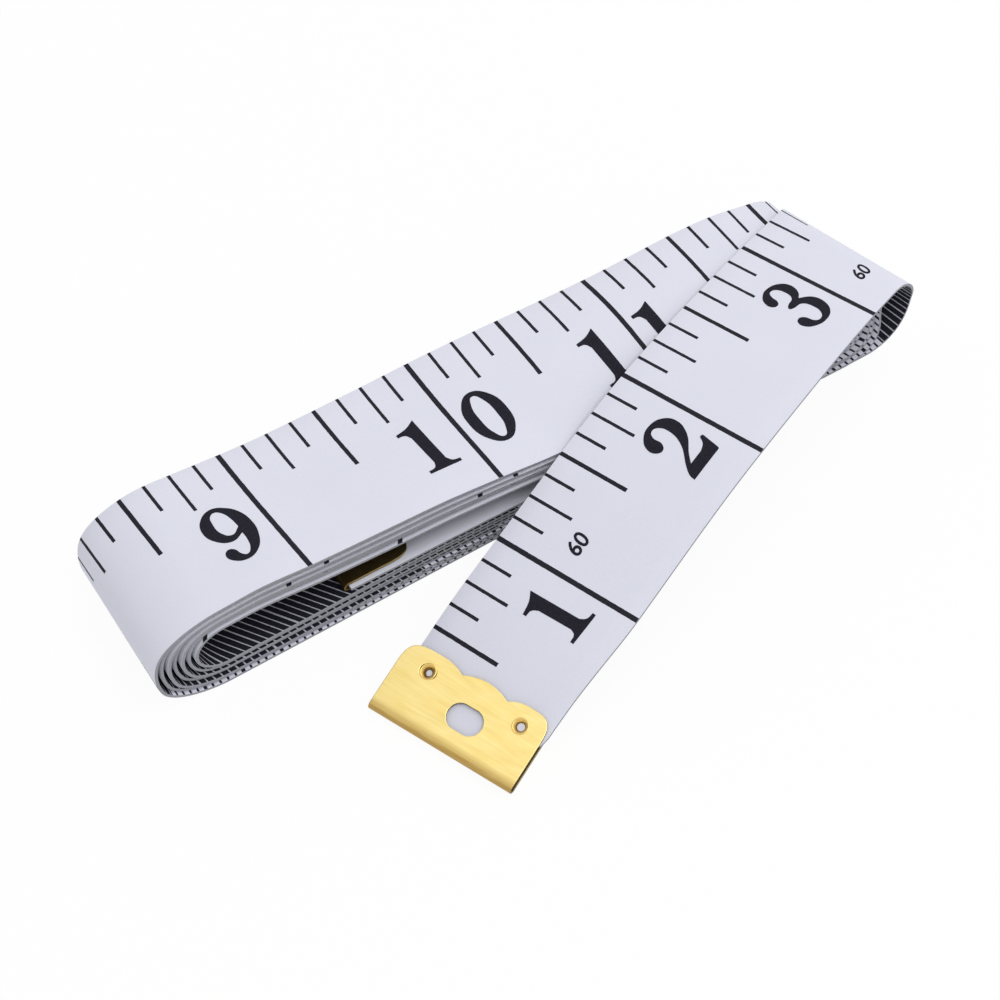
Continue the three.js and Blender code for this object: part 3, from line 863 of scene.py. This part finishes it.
class Finish(Nodes):
    """A material with one shader, and the nodes that feed it."""

    def __init__(self, name, constants):
        self.material = bpy.data.materials.new(name)
        self.material.use_nodes = True
        super().__init__(self.material.node_tree)
        self.shader = self.tree.nodes["Principled BSDF"]
        for socket, value in constants.items():
            self.shader.inputs[socket].default_value = value

    def spot(self, layer):
        """Places along and across the piece, in millimetres."""
        where = self.node("ShaderNodeUVMap", {"uv_map": layer})
        split = self.node("ShaderNodeSeparateXYZ", None, where.outputs["UV"])
        return [Value(self, split.outputs[i]) * (1 / MM) for i in (0, 1)]

    def noise(self, x, y, z=0, detail=2.0):
        vector = self.node("ShaderNodeCombineXYZ", None, x, y, z)
        made = self.node("ShaderNodeTexNoise", None, Vector=vector.outputs[0], Scale=1.0,
                         Detail=detail)
        return Value(self, made.outputs["Fac"])

    def grain(self, scale, detail):
        """Fine noise that doesn't depend on how the piece is laid out flat."""
        where = self.node("ShaderNodeTexCoord").outputs["Object"]
        made = self.node("ShaderNodeTexNoise", None, Vector=where, Scale=scale, Detail=detail)
        return Value(self, made.outputs["Fac"])

    def mix(self, factor, first, second):
        node = self.node("ShaderNodeMix", {"data_type": "RGBA"})
        self.feed(node.inputs["Factor"], factor)
        self.feed(node.inputs[6], first)
        self.feed(node.inputs[7], second)
        return node.outputs[2]

    def bump(self, height, strength, distance):
        node = self.node("ShaderNodeBump", None, Strength=strength, Distance=distance,
                         Height=height)
        self.feed(self.shader.inputs["Normal"], node.outputs["Normal"])


def marks_mask(s, across, marks, wobble):
    """1 where one of the printed lines is: each has a step, a width and a length."""
    mask = None
    for step, width, length in marks:
        line = (s.from_multiple(step) + wobble < width / 2) * (across < length)
        mask = line if mask is None else mask.over(line)
    return mask


def cloth_finish(settings, name, metric):
    """Coated cloth with its print: inches on one face, centimetres on the other."""
    finish = Finish(name, {"Roughness": 0.6, "Specular IOR Level": 0.03 if metric else 0.1})
    s, v = finish.spot("tape")
    wobble = (finish.noise(s * 1.2, v * 1.2) - 0.5) * LINE_WOBBLE
    patches = finish.noise(s * 0.12, v * 0.12)
    grain = finish.noise(s * 4.0, v * 4.0, detail=3.0)
    cloth = finish.mix(patches, settings.cloth_colour, settings.cloth_shade_colour)
    cloth = finish.mix((grain - 0.5) * 0.35, cloth, settings.soil_colour)
    ink = finish.mix(grain, settings.ink_colour, settings.worn_ink_colour)
    if metric:
        lines = marks_mask(s, v, METRIC_MARKS, wobble)
        zone = (s.sum("MODULO", s, 2 * METRIC_ZONE) < METRIC_ZONE) * (s < METRIC_END)
        thin = marks_mask(s, v, WHITE_MARKS, wobble * 0.5)
        mask = zone * (1 - thin) + (1 - zone) * lines * (s < METRIC_END)
        # painted shade: the white lines in the black zones are greyed towards the cut edges' colour
        cloth = finish.mix(zone * 0.75, cloth, settings.edge_colour)
    else:
        mask = marks_mask(s, TAPE_WIDTH - v, INCH_MARKS, wobble)
    finish.feed(finish.shader.inputs["Base Color"], finish.mix(mask, cloth, ink))
    weave = finish.noise(s * 6.0, v * 0.8) + finish.noise(s * 0.8, v * 6.0)
    finish.bump(weave + mask * 0.4, settings.weave_depth, 0.03 * MM)
    return finish.material


def edge_finish(settings):
    """The cut edge of the cloth, where the threads show through the coating."""
    finish = Finish("cloth_edge", {"Roughness": 0.8})
    s, v = finish.spot("tape")
    threads = finish.noise(s * 5.0, v)
    colour = finish.mix(threads, settings.edge_colour, settings.edge_shade_colour)
    finish.feed(finish.shader.inputs["Base Color"], colour)
    finish.bump(threads, 0.4, 0.05 * MM)
    return finish.material


def ink_finish(name, constants, scale, detail, first, second):
    """Ink that lies on the cloth, in two colours that its grain mixes."""
    finish = Finish(name, constants)
    colour = finish.mix(finish.grain(scale, detail), first, second)
    finish.feed(finish.shader.inputs["Base Color"], colour)


def brass_finish(settings, name, shade_share):
    """Thin sheet brass, brushed across the tape, with painted shade round its fold and as much
    painted shade all over as asked.
    """
    finish = Finish(name, {"Metallic": 1.0})
    u, w = finish.spot("sheet")
    grain = finish.noise(u * 3.2, w * 0.22, detail=5.0)
    cloud = finish.noise(u * 0.6, w * 0.3)
    colour = finish.mix(grain, settings.brass_shade_colour, settings.brass_colour)
    colour = finish.mix(cloud * 0.5, colour, settings.brass_light_colour)
    from_fold = u.over(0 - u)
    # painted shade: the sheet darkens along its folded edge, flecked by the grain
    fold_shade = ((FOLD_SHADE_WIDTH - from_fold) * 1.2).over(0)
    colour = finish.mix((fold_shade * (0.2 + grain)).under(1), colour, settings.worn_brass_colour)
    # painted shade over the whole sheet, in the share that is asked
    colour = finish.mix(shade_share, colour, settings.tarnish_colour)
    finish.feed(finish.shader.inputs["Base Color"], colour)
    finish.feed(finish.shader.inputs["Roughness"], 0.28 + grain * 0.2)
    finish.bump(grain, 0.3, 0.02 * MM)
    return finish.material


def dark_brass():
    """The cut edges and the inside of a tip, darkened with painted shade."""
    if "dark_brass" not in bpy.data.materials:
        brass_finish(bpy.context.scene.tip_settings, "dark_brass", CUT_EDGE_SHADE)
    return bpy.data.materials["dark_brass"]


def eyelet_finish(settings):
    """Plain brass, with painted shade in its bore."""
    finish = Finish("eyelet_brass", {"Metallic": 1.0})
    r, _ = finish.spot("sheet")
    # painted shade in the eyelet's funnel and bore
    bore_shade = (r < EYELET_FLANGE_RADIUS - EYELET_SHADE_INSET) * 0.75
    colour = finish.mix(bore_shade, settings.eyelet_colour, settings.tarnish_colour)
    finish.feed(finish.shader.inputs["Base Color"], colour)
    finish.feed(finish.shader.inputs["Roughness"], 0.25 + finish.grain(1500.0, 3.0) * 0.2)
    return finish.material


def colour_property(name, description, colour):
    return FloatVectorProperty(name=name, description=description, default=(*colour, 1),
                               size=4, min=0, max=1, subtype="COLOR")


class TapeSettings(bpy.types.PropertyGroup):
    """The cloth and its print"""

    cloth_colour: colour_property("Cloth", "Colour of the coated cloth", (0.78, 0.79, 0.885))
    cloth_shade_colour: colour_property(
        "Cloth patches", "Colour of the cloth's slightly duller patches", (0.745, 0.755, 0.855))
    soil_colour: colour_property("Soil", "Colour of fine soiling", (0.55, 0.55, 0.60))
    # also the painted shade on the white lines of the black zones on the metric face
    edge_colour: colour_property("Cut edge", "Colour of the cut edges", (0.42, 0.43, 0.48))
    edge_shade_colour: colour_property(
        "Cut edge threads", "Colour between the threads of the edges", (0.20, 0.20, 0.23))
    ink_colour: colour_property("Ink", "Colour of the print", (0.006, 0.006, 0.011))
    worn_ink_colour: colour_property(
        "Worn ink", "Colour of the print where it is thin", (0.030, 0.028, 0.040))
    weave_depth: FloatProperty(
        name="Weave", description="Strength of the cloth's weave", default=0.5, min=0,
        max=1, subtype="FACTOR")
    numeral_base: FloatProperty(
        name="Numeral base", description="From the near edge to the foot of the numerals",
        default=NUMERAL_BASE * MM, min=0, max=TAPE_WIDTH * MM, unit="LENGTH")
    metric_numerals: IntProperty(
        name="Metric numerals", description="How many centimetres carry a numeral",
        default=10, min=0, max=20)


class TipSettings(bpy.types.PropertyGroup):
    """The brass tips and their eyelets"""

    brass_colour: colour_property("Brass", "Colour of the brushed sheet", (0.97, 0.78, 0.30))
    brass_shade_colour: colour_property(
        "Brass grain", "Colour in the grain of the sheet", (0.74, 0.51, 0.11))
    brass_light_colour: colour_property(
        "Brass sheen", "Colour of the sheet's light patches", (1.0, 0.89, 0.50))
    # painted shade along the tips' folded edges
    worn_brass_colour: colour_property(
        "Worn brass", "Colour of the sheet round its fold", (0.46, 0.30, 0.09))
    eyelet_colour: colour_property("Eyelets", "Colour of the eyelets", (0.72, 0.52, 0.18))
    # painted shade: darkens the eyelets' bores, the inner tip and the tips' insides and cut edges
    tarnish_colour: colour_property(
        "Tarnish", "Colour of painted shade, in the eyelets and inside the tips",
        (0.10, 0.06, 0.025))
    edge_round: FloatProperty(
        name="Edge", description="Rounding of the sheet's edges",
        default=TIP_EDGE_ROUND * MM, min=0, max=SHEET_THICKNESS * MM / 2, unit="LENGTH")


class StageSettings(bpy.types.PropertyGroup):
    """The floor, the lights and the camera"""

    backdrop_colour: colour_property("Backdrop", "Colour of the floor and backdrop", (1, 1, 1))
    world_strength: FloatProperty(
        name="Surround", description="Strength of the light from all round", default=0.58,
        min=0, max=2)
    lamp_power: FloatProperty(
        name="Lamp", description="Power of the large lamp overhead, in watts", default=1.9,
        min=0, max=50)
    azimuth: FloatProperty(
        name="Azimuth", description="Direction of the camera round the object",
        default=math.radians(-32.70), subtype="ANGLE")
    elevation: FloatProperty(
        name="Elevation", description="Height of the camera over the horizon",
        default=math.radians(54.14), subtype="ANGLE")
    lens: FloatProperty(
        name="Lens", description="Focal length of the camera, in millimetres", default=79.2,
        min=10, max=300)
    camera_place: FloatVectorProperty(
        name="Camera", description="Where the camera stands", unit="LENGTH",
        default=(-0.09021, -0.12179, 0.21732), size=3)


def cloth_materials():
    settings = bpy.context.scene.tape_settings
    if "cloth_inches" not in bpy.data.materials:
        cloth_finish(settings, "cloth_inches", False)
        cloth_finish(settings, "cloth_centimetres", True)
        edge_finish(settings)
        ink_finish("ink", {"Roughness": 0.6, "Specular IOR Level": 0.06}, 4000.0, 3.0,
                   settings.ink_colour, settings.worn_ink_colour)
        ink_finish("white_ink", {"Roughness": 0.5}, 3000.0, 2.0,
                   settings.cloth_colour, settings.cloth_shade_colour)
    names = ("cloth_inches", "cloth_centimetres", "cloth_edge")
    return [bpy.data.materials[name] for name in names]


def inch_marks(numbers):
    """The figures of these inch numerals, with their places on the inch face."""
    base = bpy.context.scene.tape_settings.numeral_base / MM
    return [(mesh, number * INCH + x, base, 1)
            for number in numbers for mesh, x in numeral_meshes(number)]


def metric_marks(numbers):
    """The figures of these centimetre numerals, on the other face. Their heads point to
    the near edge, where the millimetre lines are."""
    scale = METRIC_NUMERAL_SCALE
    return [(mesh, number * CENTIMETRE + x, METRIC_NUMERAL_BASE, scale)
            for number in numbers for mesh, x in numeral_meshes(number, scale)]


def printed(name, sections, bodies, ends=None):
    """All the numerals that lie on one stretch, on both its faces."""
    cloth_materials()
    low = min(q.s_near for q in sections) - MARK_MARGIN
    high = max(q.s_far for q in sections) + MARK_MARGIN
    inches = [n for n in range(1, LAST_INCH_NUMERAL + 1) if low < n * INCH < high]
    count = bpy.context.scene.tape_settings.metric_numerals
    metric = [n for n in range(1, count + 1) if low < n * CENTIMETRE < high]
    small = [(length_mark(), *mark) for mark in LENGTH_MARKS if low < mark[0] < high]
    made = [
        inked(f"{name}_inches", sections, inch_marks(inches), bpy.data.materials["ink"]),
        inked(f"{name}_centimetres", sections, metric_marks(metric),
              bpy.data.materials["white_ink"], face=-1),
        inked(f"{name}_length", sections, small, bpy.data.materials["ink"]),
    ]
    return [carried(piece, bodies, ends) for piece in made if piece is not None]


def flat_size(sections):
    """The band's width and the print's length along a stretch's near edge, in metres."""
    length = sections[-1].s_near - sections[0].s_near
    return TAPE_WIDTH * MM, length * MM


class TAPE_OT_coil(bpy.types.Operator):
    """Lays the coiled part of the band, and the end fold in its stretches"""

    bl_idname = "tape.coil"
    bl_label = "Coil and end fold"

    def execute(self, context):
        sections = coil_sections()
        coil = cloth_strip("coil_cloth", sections, cloth_materials())
        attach(coil, "coil")
        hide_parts("tape_coil")
        going = printed("coil", sections, ["coil"])
        bodies = ["coil"] + [f"fold_{k}" for k in range(1, FOLD_STRETCHES)] + ["free_end"]
        for k in range(1, FOLD_STRETCHES + 1):
            stretch = fold_stretch(k)
            pair = bodies[k - 1:k + 1]
            ends = (stretch[-1], stretch[0])
            strip = cloth_strip(f"end_fold_cloth_{k}", stretch, cloth_materials())
            carried(strip, pair, ends)
            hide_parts(f"tape_fold_{k}")
            going += [strip, *printed(f"end_fold_{k}", stretch, pair, ends)]
        flat_size(sections)
        return {"FINISHED"}


class TAPE_OT_free_end(bpy.types.Operator):
    """Lays the free end over the coil, its bend and the end with the zero mark"""

    bl_idname = "tape.free_end"
    bl_label = "Free end"

    def execute(self, context):
        stretches = (
            ("free_end", free_end_sections(), ["free_end"], "tape_free_end", "tape_coil"),
            ("free_bend", bend_sections(), ["free_end", "zero_end"], "tape_free_bend",
             "tape_coil"),
            ("zero_end", zero_end_sections(), ["zero_end"], "tape_zero_end", "outer_tip"),
        )
        for name, sections, bodies, node, rest in stretches:
            ends = (sections[-1], sections[0]) if len(bodies) == 2 else None
            strip = cloth_strip(f"{name}_cloth", sections, cloth_materials())
            carried(strip, bodies, ends)
            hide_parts(node)
            going = printed(name, sections, bodies, ends)
            flat_size(sections)
        return {"FINISHED"}


def lobed_end():
    """The scalloped end of the sheet, from its near side to its far side."""
    middle = TAPE_WIDTH / 2
    valley_at = middle - CENTRE_LOBE_HALF
    valley = TIP_LENGTH - VALLEY_DEPTH
    peak_in = SIDE_LOBE_PEAK_IN
    corner = (TIP_LENGTH, 0)

    def curved(start, first, second, end):
        points = interpolate_bezier(*(Vector((*p, 0)) for p in (start, first, second, end)),
                                    CURVE_STEPS)
        return [(p.x, p.y) for p in points[:-1]]

    def two_thirds(start, control):
        return tuple(a + (b - a) * 2 / 3 for a, b in zip(start, control))

    rise, peak = (TIP_LENGTH - LOBE_RISE, 0), (TIP_LENGTH, peak_in)
    dip, head = (valley, valley_at), (TIP_LENGTH, middle)
    down = (TIP_LENGTH, peak_in + CENTRE_LOBE_HALF / 2)
    up = (TIP_LENGTH, (valley_at + middle) / 2)
    near = curved(rise, corner, (TIP_LENGTH, peak_in / 3), peak)
    near += curved(peak, two_thirds(peak, down), two_thirds(dip, down), dip)
    near += curved(dip, two_thirds(dip, up), two_thirds(head, up), head)
    far = [(x, TAPE_WIDTH - y) for x, y in reversed(near)]
    return near + [head] + far


SHEET_BEND = TIP_ROUND - SHEET_THICKNESS / 2
SHEET_QUARTER = SHEET_BEND * math.pi / 2


def unfolded(x):
    """How far a point of the tip's upper leaf is from its fold on the flat sheet."""
    return x - TIP_ROUND + SHEET_QUARTER


def folded(point):
    """A point of the flat sheet after it is folded round the tape."""
    u, across, out = point
    across = between(TIP_LOBES, across)
    if abs(u) < SHEET_QUARTER:
        a = u / SHEET_BEND
        return Vector((TIP_ROUND - (SHEET_BEND + out) * math.cos(a), across,
                       (SHEET_BEND + out) * math.sin(a)))
    side = 1 if u > 0 else -1
    return Vector((TIP_ROUND + abs(u) - SHEET_QUARTER, across, side * (SHEET_BEND + out)))


def eyelet_spots():
    return [(TIP_LENGTH - EYELET_FROM_LOBE, y)
            for y in (EYELET_FROM_EDGE, TAPE_WIDTH - EYELET_FROM_EDGE)]


def round_hole(x, y, radius, stretch=0):
    """A round hole, or an oval one whose two halves are drawn apart across the tape."""
    points = []
    for i in range(ROUND_STEPS):
        a = 2 * math.pi * (i + 0.5) / ROUND_STEPS
        shift = stretch if math.sin(a) > 0 else -stretch
        points.append((x + radius * math.cos(a), y + radius * math.sin(a) + shift))
    return points


def tip_piece(name, place, material, edge_round):
    """One brass tip: a flat sheet with lobed ends and its holes, folded in half."""
    end = [(unfolded(x), y) for x, y in lobed_end()]
    loops = [end + [(-u, y) for u, y in reversed(end)]]
    loops.append(round_hole(unfolded(SLOT_FROM_FOLD), TAPE_WIDTH / 2, SLOT_WIDTH / 2,
                            (SLOT_LENGTH - SLOT_WIDTH) / 2))
    for x, y in eyelet_spots():
        for side in (1, -1):
            loops.append(round_hole(side * unfolded(x), y, EYELET_FLANGE_RADIUS - EYELET_OVERLAP))
    bm = bmesh.new()
    bm.from_mesh(flat_fill(loops, smooth_points=False))
    bmesh.ops.remove_doubles(bm, verts=bm.verts, dist=MERGE_WITHIN)
    bmesh.ops.dissolve_limit(bm, angle_limit=0.01, verts=bm.verts, edges=bm.edges)
    bmesh.ops.translate(bm, vec=(0, 0, -SHEET_THICKNESS / 2), verts=bm.verts)
    thickened(bm, bm.faces[:], SHEET_THICKNESS)
    bmesh.ops.recalc_face_normals(bm, faces=bm.faces)
    for face in bm.faces:
        # the outer faces take the brass, and the inside and the cut edges take the painted shade
        face.material_index = 0 if face.normal.z > 0.5 else 1
    rim = [edge for edge in bm.edges if edge.calc_face_angle(0) > 1
           and abs(edge.verts[0].co.z - edge.verts[1].co.z) < SHEET_THICKNESS / 2]
    bmesh.ops.bevel(bm, geom=rim, offset=edge_round, segments=2, profile=0.5,
                    affect="EDGES", material=-1)
    for i in range(CURVE_STEPS + 1):
        u = SHEET_QUARTER * (2 * i / CURVE_STEPS - 1)
        bmesh.ops.bisect_plane(bm, geom=whole(bm), plane_co=(u, 0, 0), plane_no=(1, 0, 0))
    bmesh.ops.triangulate(bm, faces=bm.faces)
    uv = bm.loops.layers.uv.new("sheet")
    for face in bm.faces:
        for loop in face.loops:
            loop[uv].uv = (loop.vert.co.x * MM, loop.vert.co.y * MM)
    for vert in bm.verts:
        vert.co = (place @ folded(vert.co) + ROUTE_ORIGIN) * MM
    return finished(name, bm, [material, dark_brass()], TIP_SMOOTH_ANGLE)


def eyelet_piece(name, place, material):
    """A hollow rivet: a rolled flange on each side, which runs down into its bore."""
    top = TIP_ROUND + EYELET_RISE
    flange, bore = EYELET_FLANGE_RADIUS, EYELET_BORE_RADIUS
    profile = [(bore, 0), (bore, top - 0.75), (bore + 0.05, top - 0.6), (bore + 0.2, top - 0.4),
               (flange - 0.28, top - 0.12), (flange - 0.2, top - 0.02), (flange - 0.12, top),
               (flange - 0.04, top - 0.04), (flange, top - 0.12), (flange - 0.06, top - 0.3),
               (flange - 0.28, top - 0.36), (flange - 0.3, 0)]
    bm = bmesh.new()
    spots = [bm.verts.new((r, 0, z)) for r, z in profile]
    edges = [bm.edges.new(pair) for pair in zip(spots, spots[1:])]
    bmesh.ops.spin(bm, geom=spots + edges, cent=(0, 0, 0), axis=(0, 0, 1), dvec=(0, 0, 0),
                   angle=2 * math.pi, steps=ROUND_STEPS, use_merge=True)
    bmesh.ops.mirror(bm, geom=whole(bm), matrix=Matrix.Identity(4),
                     merge_dist=MERGE_WITHIN, axis="Z")
    bmesh.ops.remove_doubles(bm, verts=bm.verts, dist=MERGE_WITHIN)
    bmesh.ops.recalc_face_normals(bm, faces=bm.faces)
    uv = bm.loops.layers.uv.new("sheet")
    for face in bm.faces:
        for loop in face.loops:
            co = loop.vert.co
            loop[uv].uv = (math.hypot(co.x, co.y) * MM, co.z * MM)
    for vert in bm.verts:
        vert.co = (place @ vert.co + ROUTE_ORIGIN) * MM
    return finished(name, bm, [material], EYELET_SMOOTH_ANGLE)


def tip_places():
    """Where the two tips stand: their folded edge along Y, and X into the tape."""
    turn = Matrix.Rotation(TIP_TURN, 3, "Z")
    along = turn @ LEAF_DIRECTION * math.cos(TIP_SLOPE)
    along.z = math.sin(TIP_SLOPE)
    out = along.cross(turn @ LEAF_ACROSS + Vector((0, 0, LEAF_ROLL))).normalized()
    basis = Matrix((along, out.cross(along), out)).transposed().to_4x4()
    inner = settled(INNER_END_AT, TAPE_WIDTH / 2, INNER_PLY_HEIGHT)
    inner.y = strayed(FULL_TURNS)
    return {
        "outer": (Matrix.Translation(TIP_PLACE + TIP_SHIFT) @ basis, "zero_end"),
        "inner": (Matrix.Translation(inner), "coil"),
    }


class TAPE_OT_tips(bpy.types.Operator):
    """Folds the two brass tips round the ends of the band"""

    bl_idname = "tape.tips"
    bl_label = "Brass tips"

    def execute(self, context):
        settings = context.scene.tip_settings
        for prefix, (place, body) in tip_places().items():
            # the inner tip lies in the coil and gets painted shade all over
            shade_share = INNER_TIP_SHADE if prefix == "inner" else 0
            material = brass_finish(settings, f"{prefix}_brass", shade_share)
            tip = tip_piece(f"{prefix}_brass_tip", place, material, settings.edge_round / MM)
            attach(tip, body)
            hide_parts(f"{prefix}_tip")
        return {"FINISHED"}


class TAPE_OT_eyelets(bpy.types.Operator):
    """Sets two hollow rivets in each tip"""

    bl_idname = "tape.eyelets"
    bl_label = "Eyelets"

    def execute(self, context):
        material = eyelet_finish(context.scene.tip_settings)
        for prefix, (place, body) in tip_places().items():
            for i, (x, y) in enumerate(eyelet_spots(), 1):
                spot = place @ Matrix.Translation((x, between(TIP_LOBES, y), 0))
                eyelet = eyelet_piece(f"{prefix}_brass_eyelet_{i}", spot, material)
                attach(eyelet, body)
                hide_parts(f"{prefix}_eyelet_{i}")
        return {"FINISHED"}


class TAPE_OT_stage(bpy.types.Operator):
    """Lays the white floor and sets the lights and the camera"""

    bl_idname = "tape.stage"
    bl_label = "Floor, lights and camera"

    def execute(self, context):
        settings = context.scene.stage_settings
        context.scene.view_settings.view_transform = "Standard"
        self.floor(settings)
        self.lights(context.scene, settings)
        self.camera(context.scene, settings)
        return {"FINISHED"}

    def floor(self, settings):
        bm = bmesh.new()
        bmesh.ops.create_grid(bm, x_segments=1, y_segments=1, size=FLOOR_REACH)
        bmesh.ops.translate(bm, vec=(0, 0, FLOOR_LEVEL), verts=bm.verts)
        finish = Finish("floor", {"Base Color": settings.backdrop_colour, "Roughness": 0.9})
        glow = finish.node("ShaderNodeEmission", None, settings.backdrop_colour, 1.0)
        shown = finish.node("ShaderNodeMixShader", None, finish.seen_directly() * FLOOR_GLOW,
                            finish.shader.outputs[0], glow.outputs[0])
        finish.feed(finish.tree.nodes["Material Output"].inputs["Surface"], shown.outputs[0])
        floor = finished("floor", bm, [finish.material])

    def lights(self, scene, settings):
        world = bpy.data.worlds.new("surround")
        scene.world = world
        world.use_nodes = True
        nodes = Nodes(world.node_tree)
        ground = nodes.tree.nodes["Background"]
        dim = settings.world_strength
        nodes.feed(ground.inputs["Color"], settings.backdrop_colour)
        nodes.feed(ground.inputs["Strength"], nodes.seen_directly() * (1 - dim) + dim)
        for name, spot, share in LAMPS:
            data = bpy.data.lights.new(name, "AREA")
            data.size = LAMP_SIZE
            data.energy = settings.lamp_power * share
            lamp = bpy.data.objects.new(name, data)
            lamp.location = spot
            lamp.rotation_euler = (-Vector(spot)).to_track_quat("-Z", "Y").to_euler()
            scene.collection.objects.link(lamp)

    def camera(self, scene, settings):
        data = bpy.data.cameras.new("camera")
        data.sensor_width = 36
        data.lens = settings.lens
        data.clip_start = 0.01
        azimuth, elevation = settings.azimuth, settings.elevation
        forward = Vector((-math.sin(azimuth) * math.cos(elevation),
                          math.cos(azimuth) * math.cos(elevation), -math.sin(elevation)))
        right = Vector((math.cos(azimuth), math.sin(azimuth), 0))
        turn = Matrix((right, right.cross(forward), -forward)).transposed().to_4x4()
        camera = bpy.data.objects.new("camera", data)
        camera.matrix_world = Matrix.Translation(settings.camera_place) @ turn
        scene.collection.objects.link(camera)
        scene.camera = camera


OPERATORS = (TAPE_OT_coil, TAPE_OT_free_end, TAPE_OT_tips, TAPE_OT_eyelets, TAPE_OT_stage)
SETTINGS = {"tape_settings": TapeSettings, "tip_settings": TipSettings,
            "stage_settings": StageSettings}


class TAPE_PT_panel(bpy.types.Panel):
    """Lists the pieces of the tape measure in the order in which they are made"""

    bl_label = "Tape measure"
    bl_idname = "TAPE_PT_panel"
    bl_space_type = "VIEW_3D"
    bl_region_type = "UI"
    bl_category = "Tape measure"

    def draw(self, context):
        for group in SETTINGS:
            settings = getattr(context.scene, group)
            box = self.layout.box()
            for name in settings.__annotations__:
                box.prop(settings, name)
        for operator in OPERATORS:
            self.layout.operator(operator.bl_idname)


def register():
    for group in SETTINGS.values():
        bpy.utils.register_class(group)
    for name, group in SETTINGS.items():
        setattr(bpy.types.Scene, name, PointerProperty(type=group))
    for made in (*OPERATORS, TAPE_PT_panel):
        bpy.utils.register_class(made)


def unregister():
    for made in (TAPE_PT_panel, *reversed(OPERATORS)):
        bpy.utils.unregister_class(made)
    for name in SETTINGS:
        delattr(bpy.types.Scene, name)
    for group in reversed(SETTINGS.values()):
        bpy.utils.unregister_class(group)


def main():
    register()
    bpy.ops.tape.stage()
    bpy.ops.tape.coil()
    bpy.ops.tape.free_end()
    bpy.ops.tape.tips()
    bpy.ops.tape.eyelets()


if __name__ == "__main__":
    main()
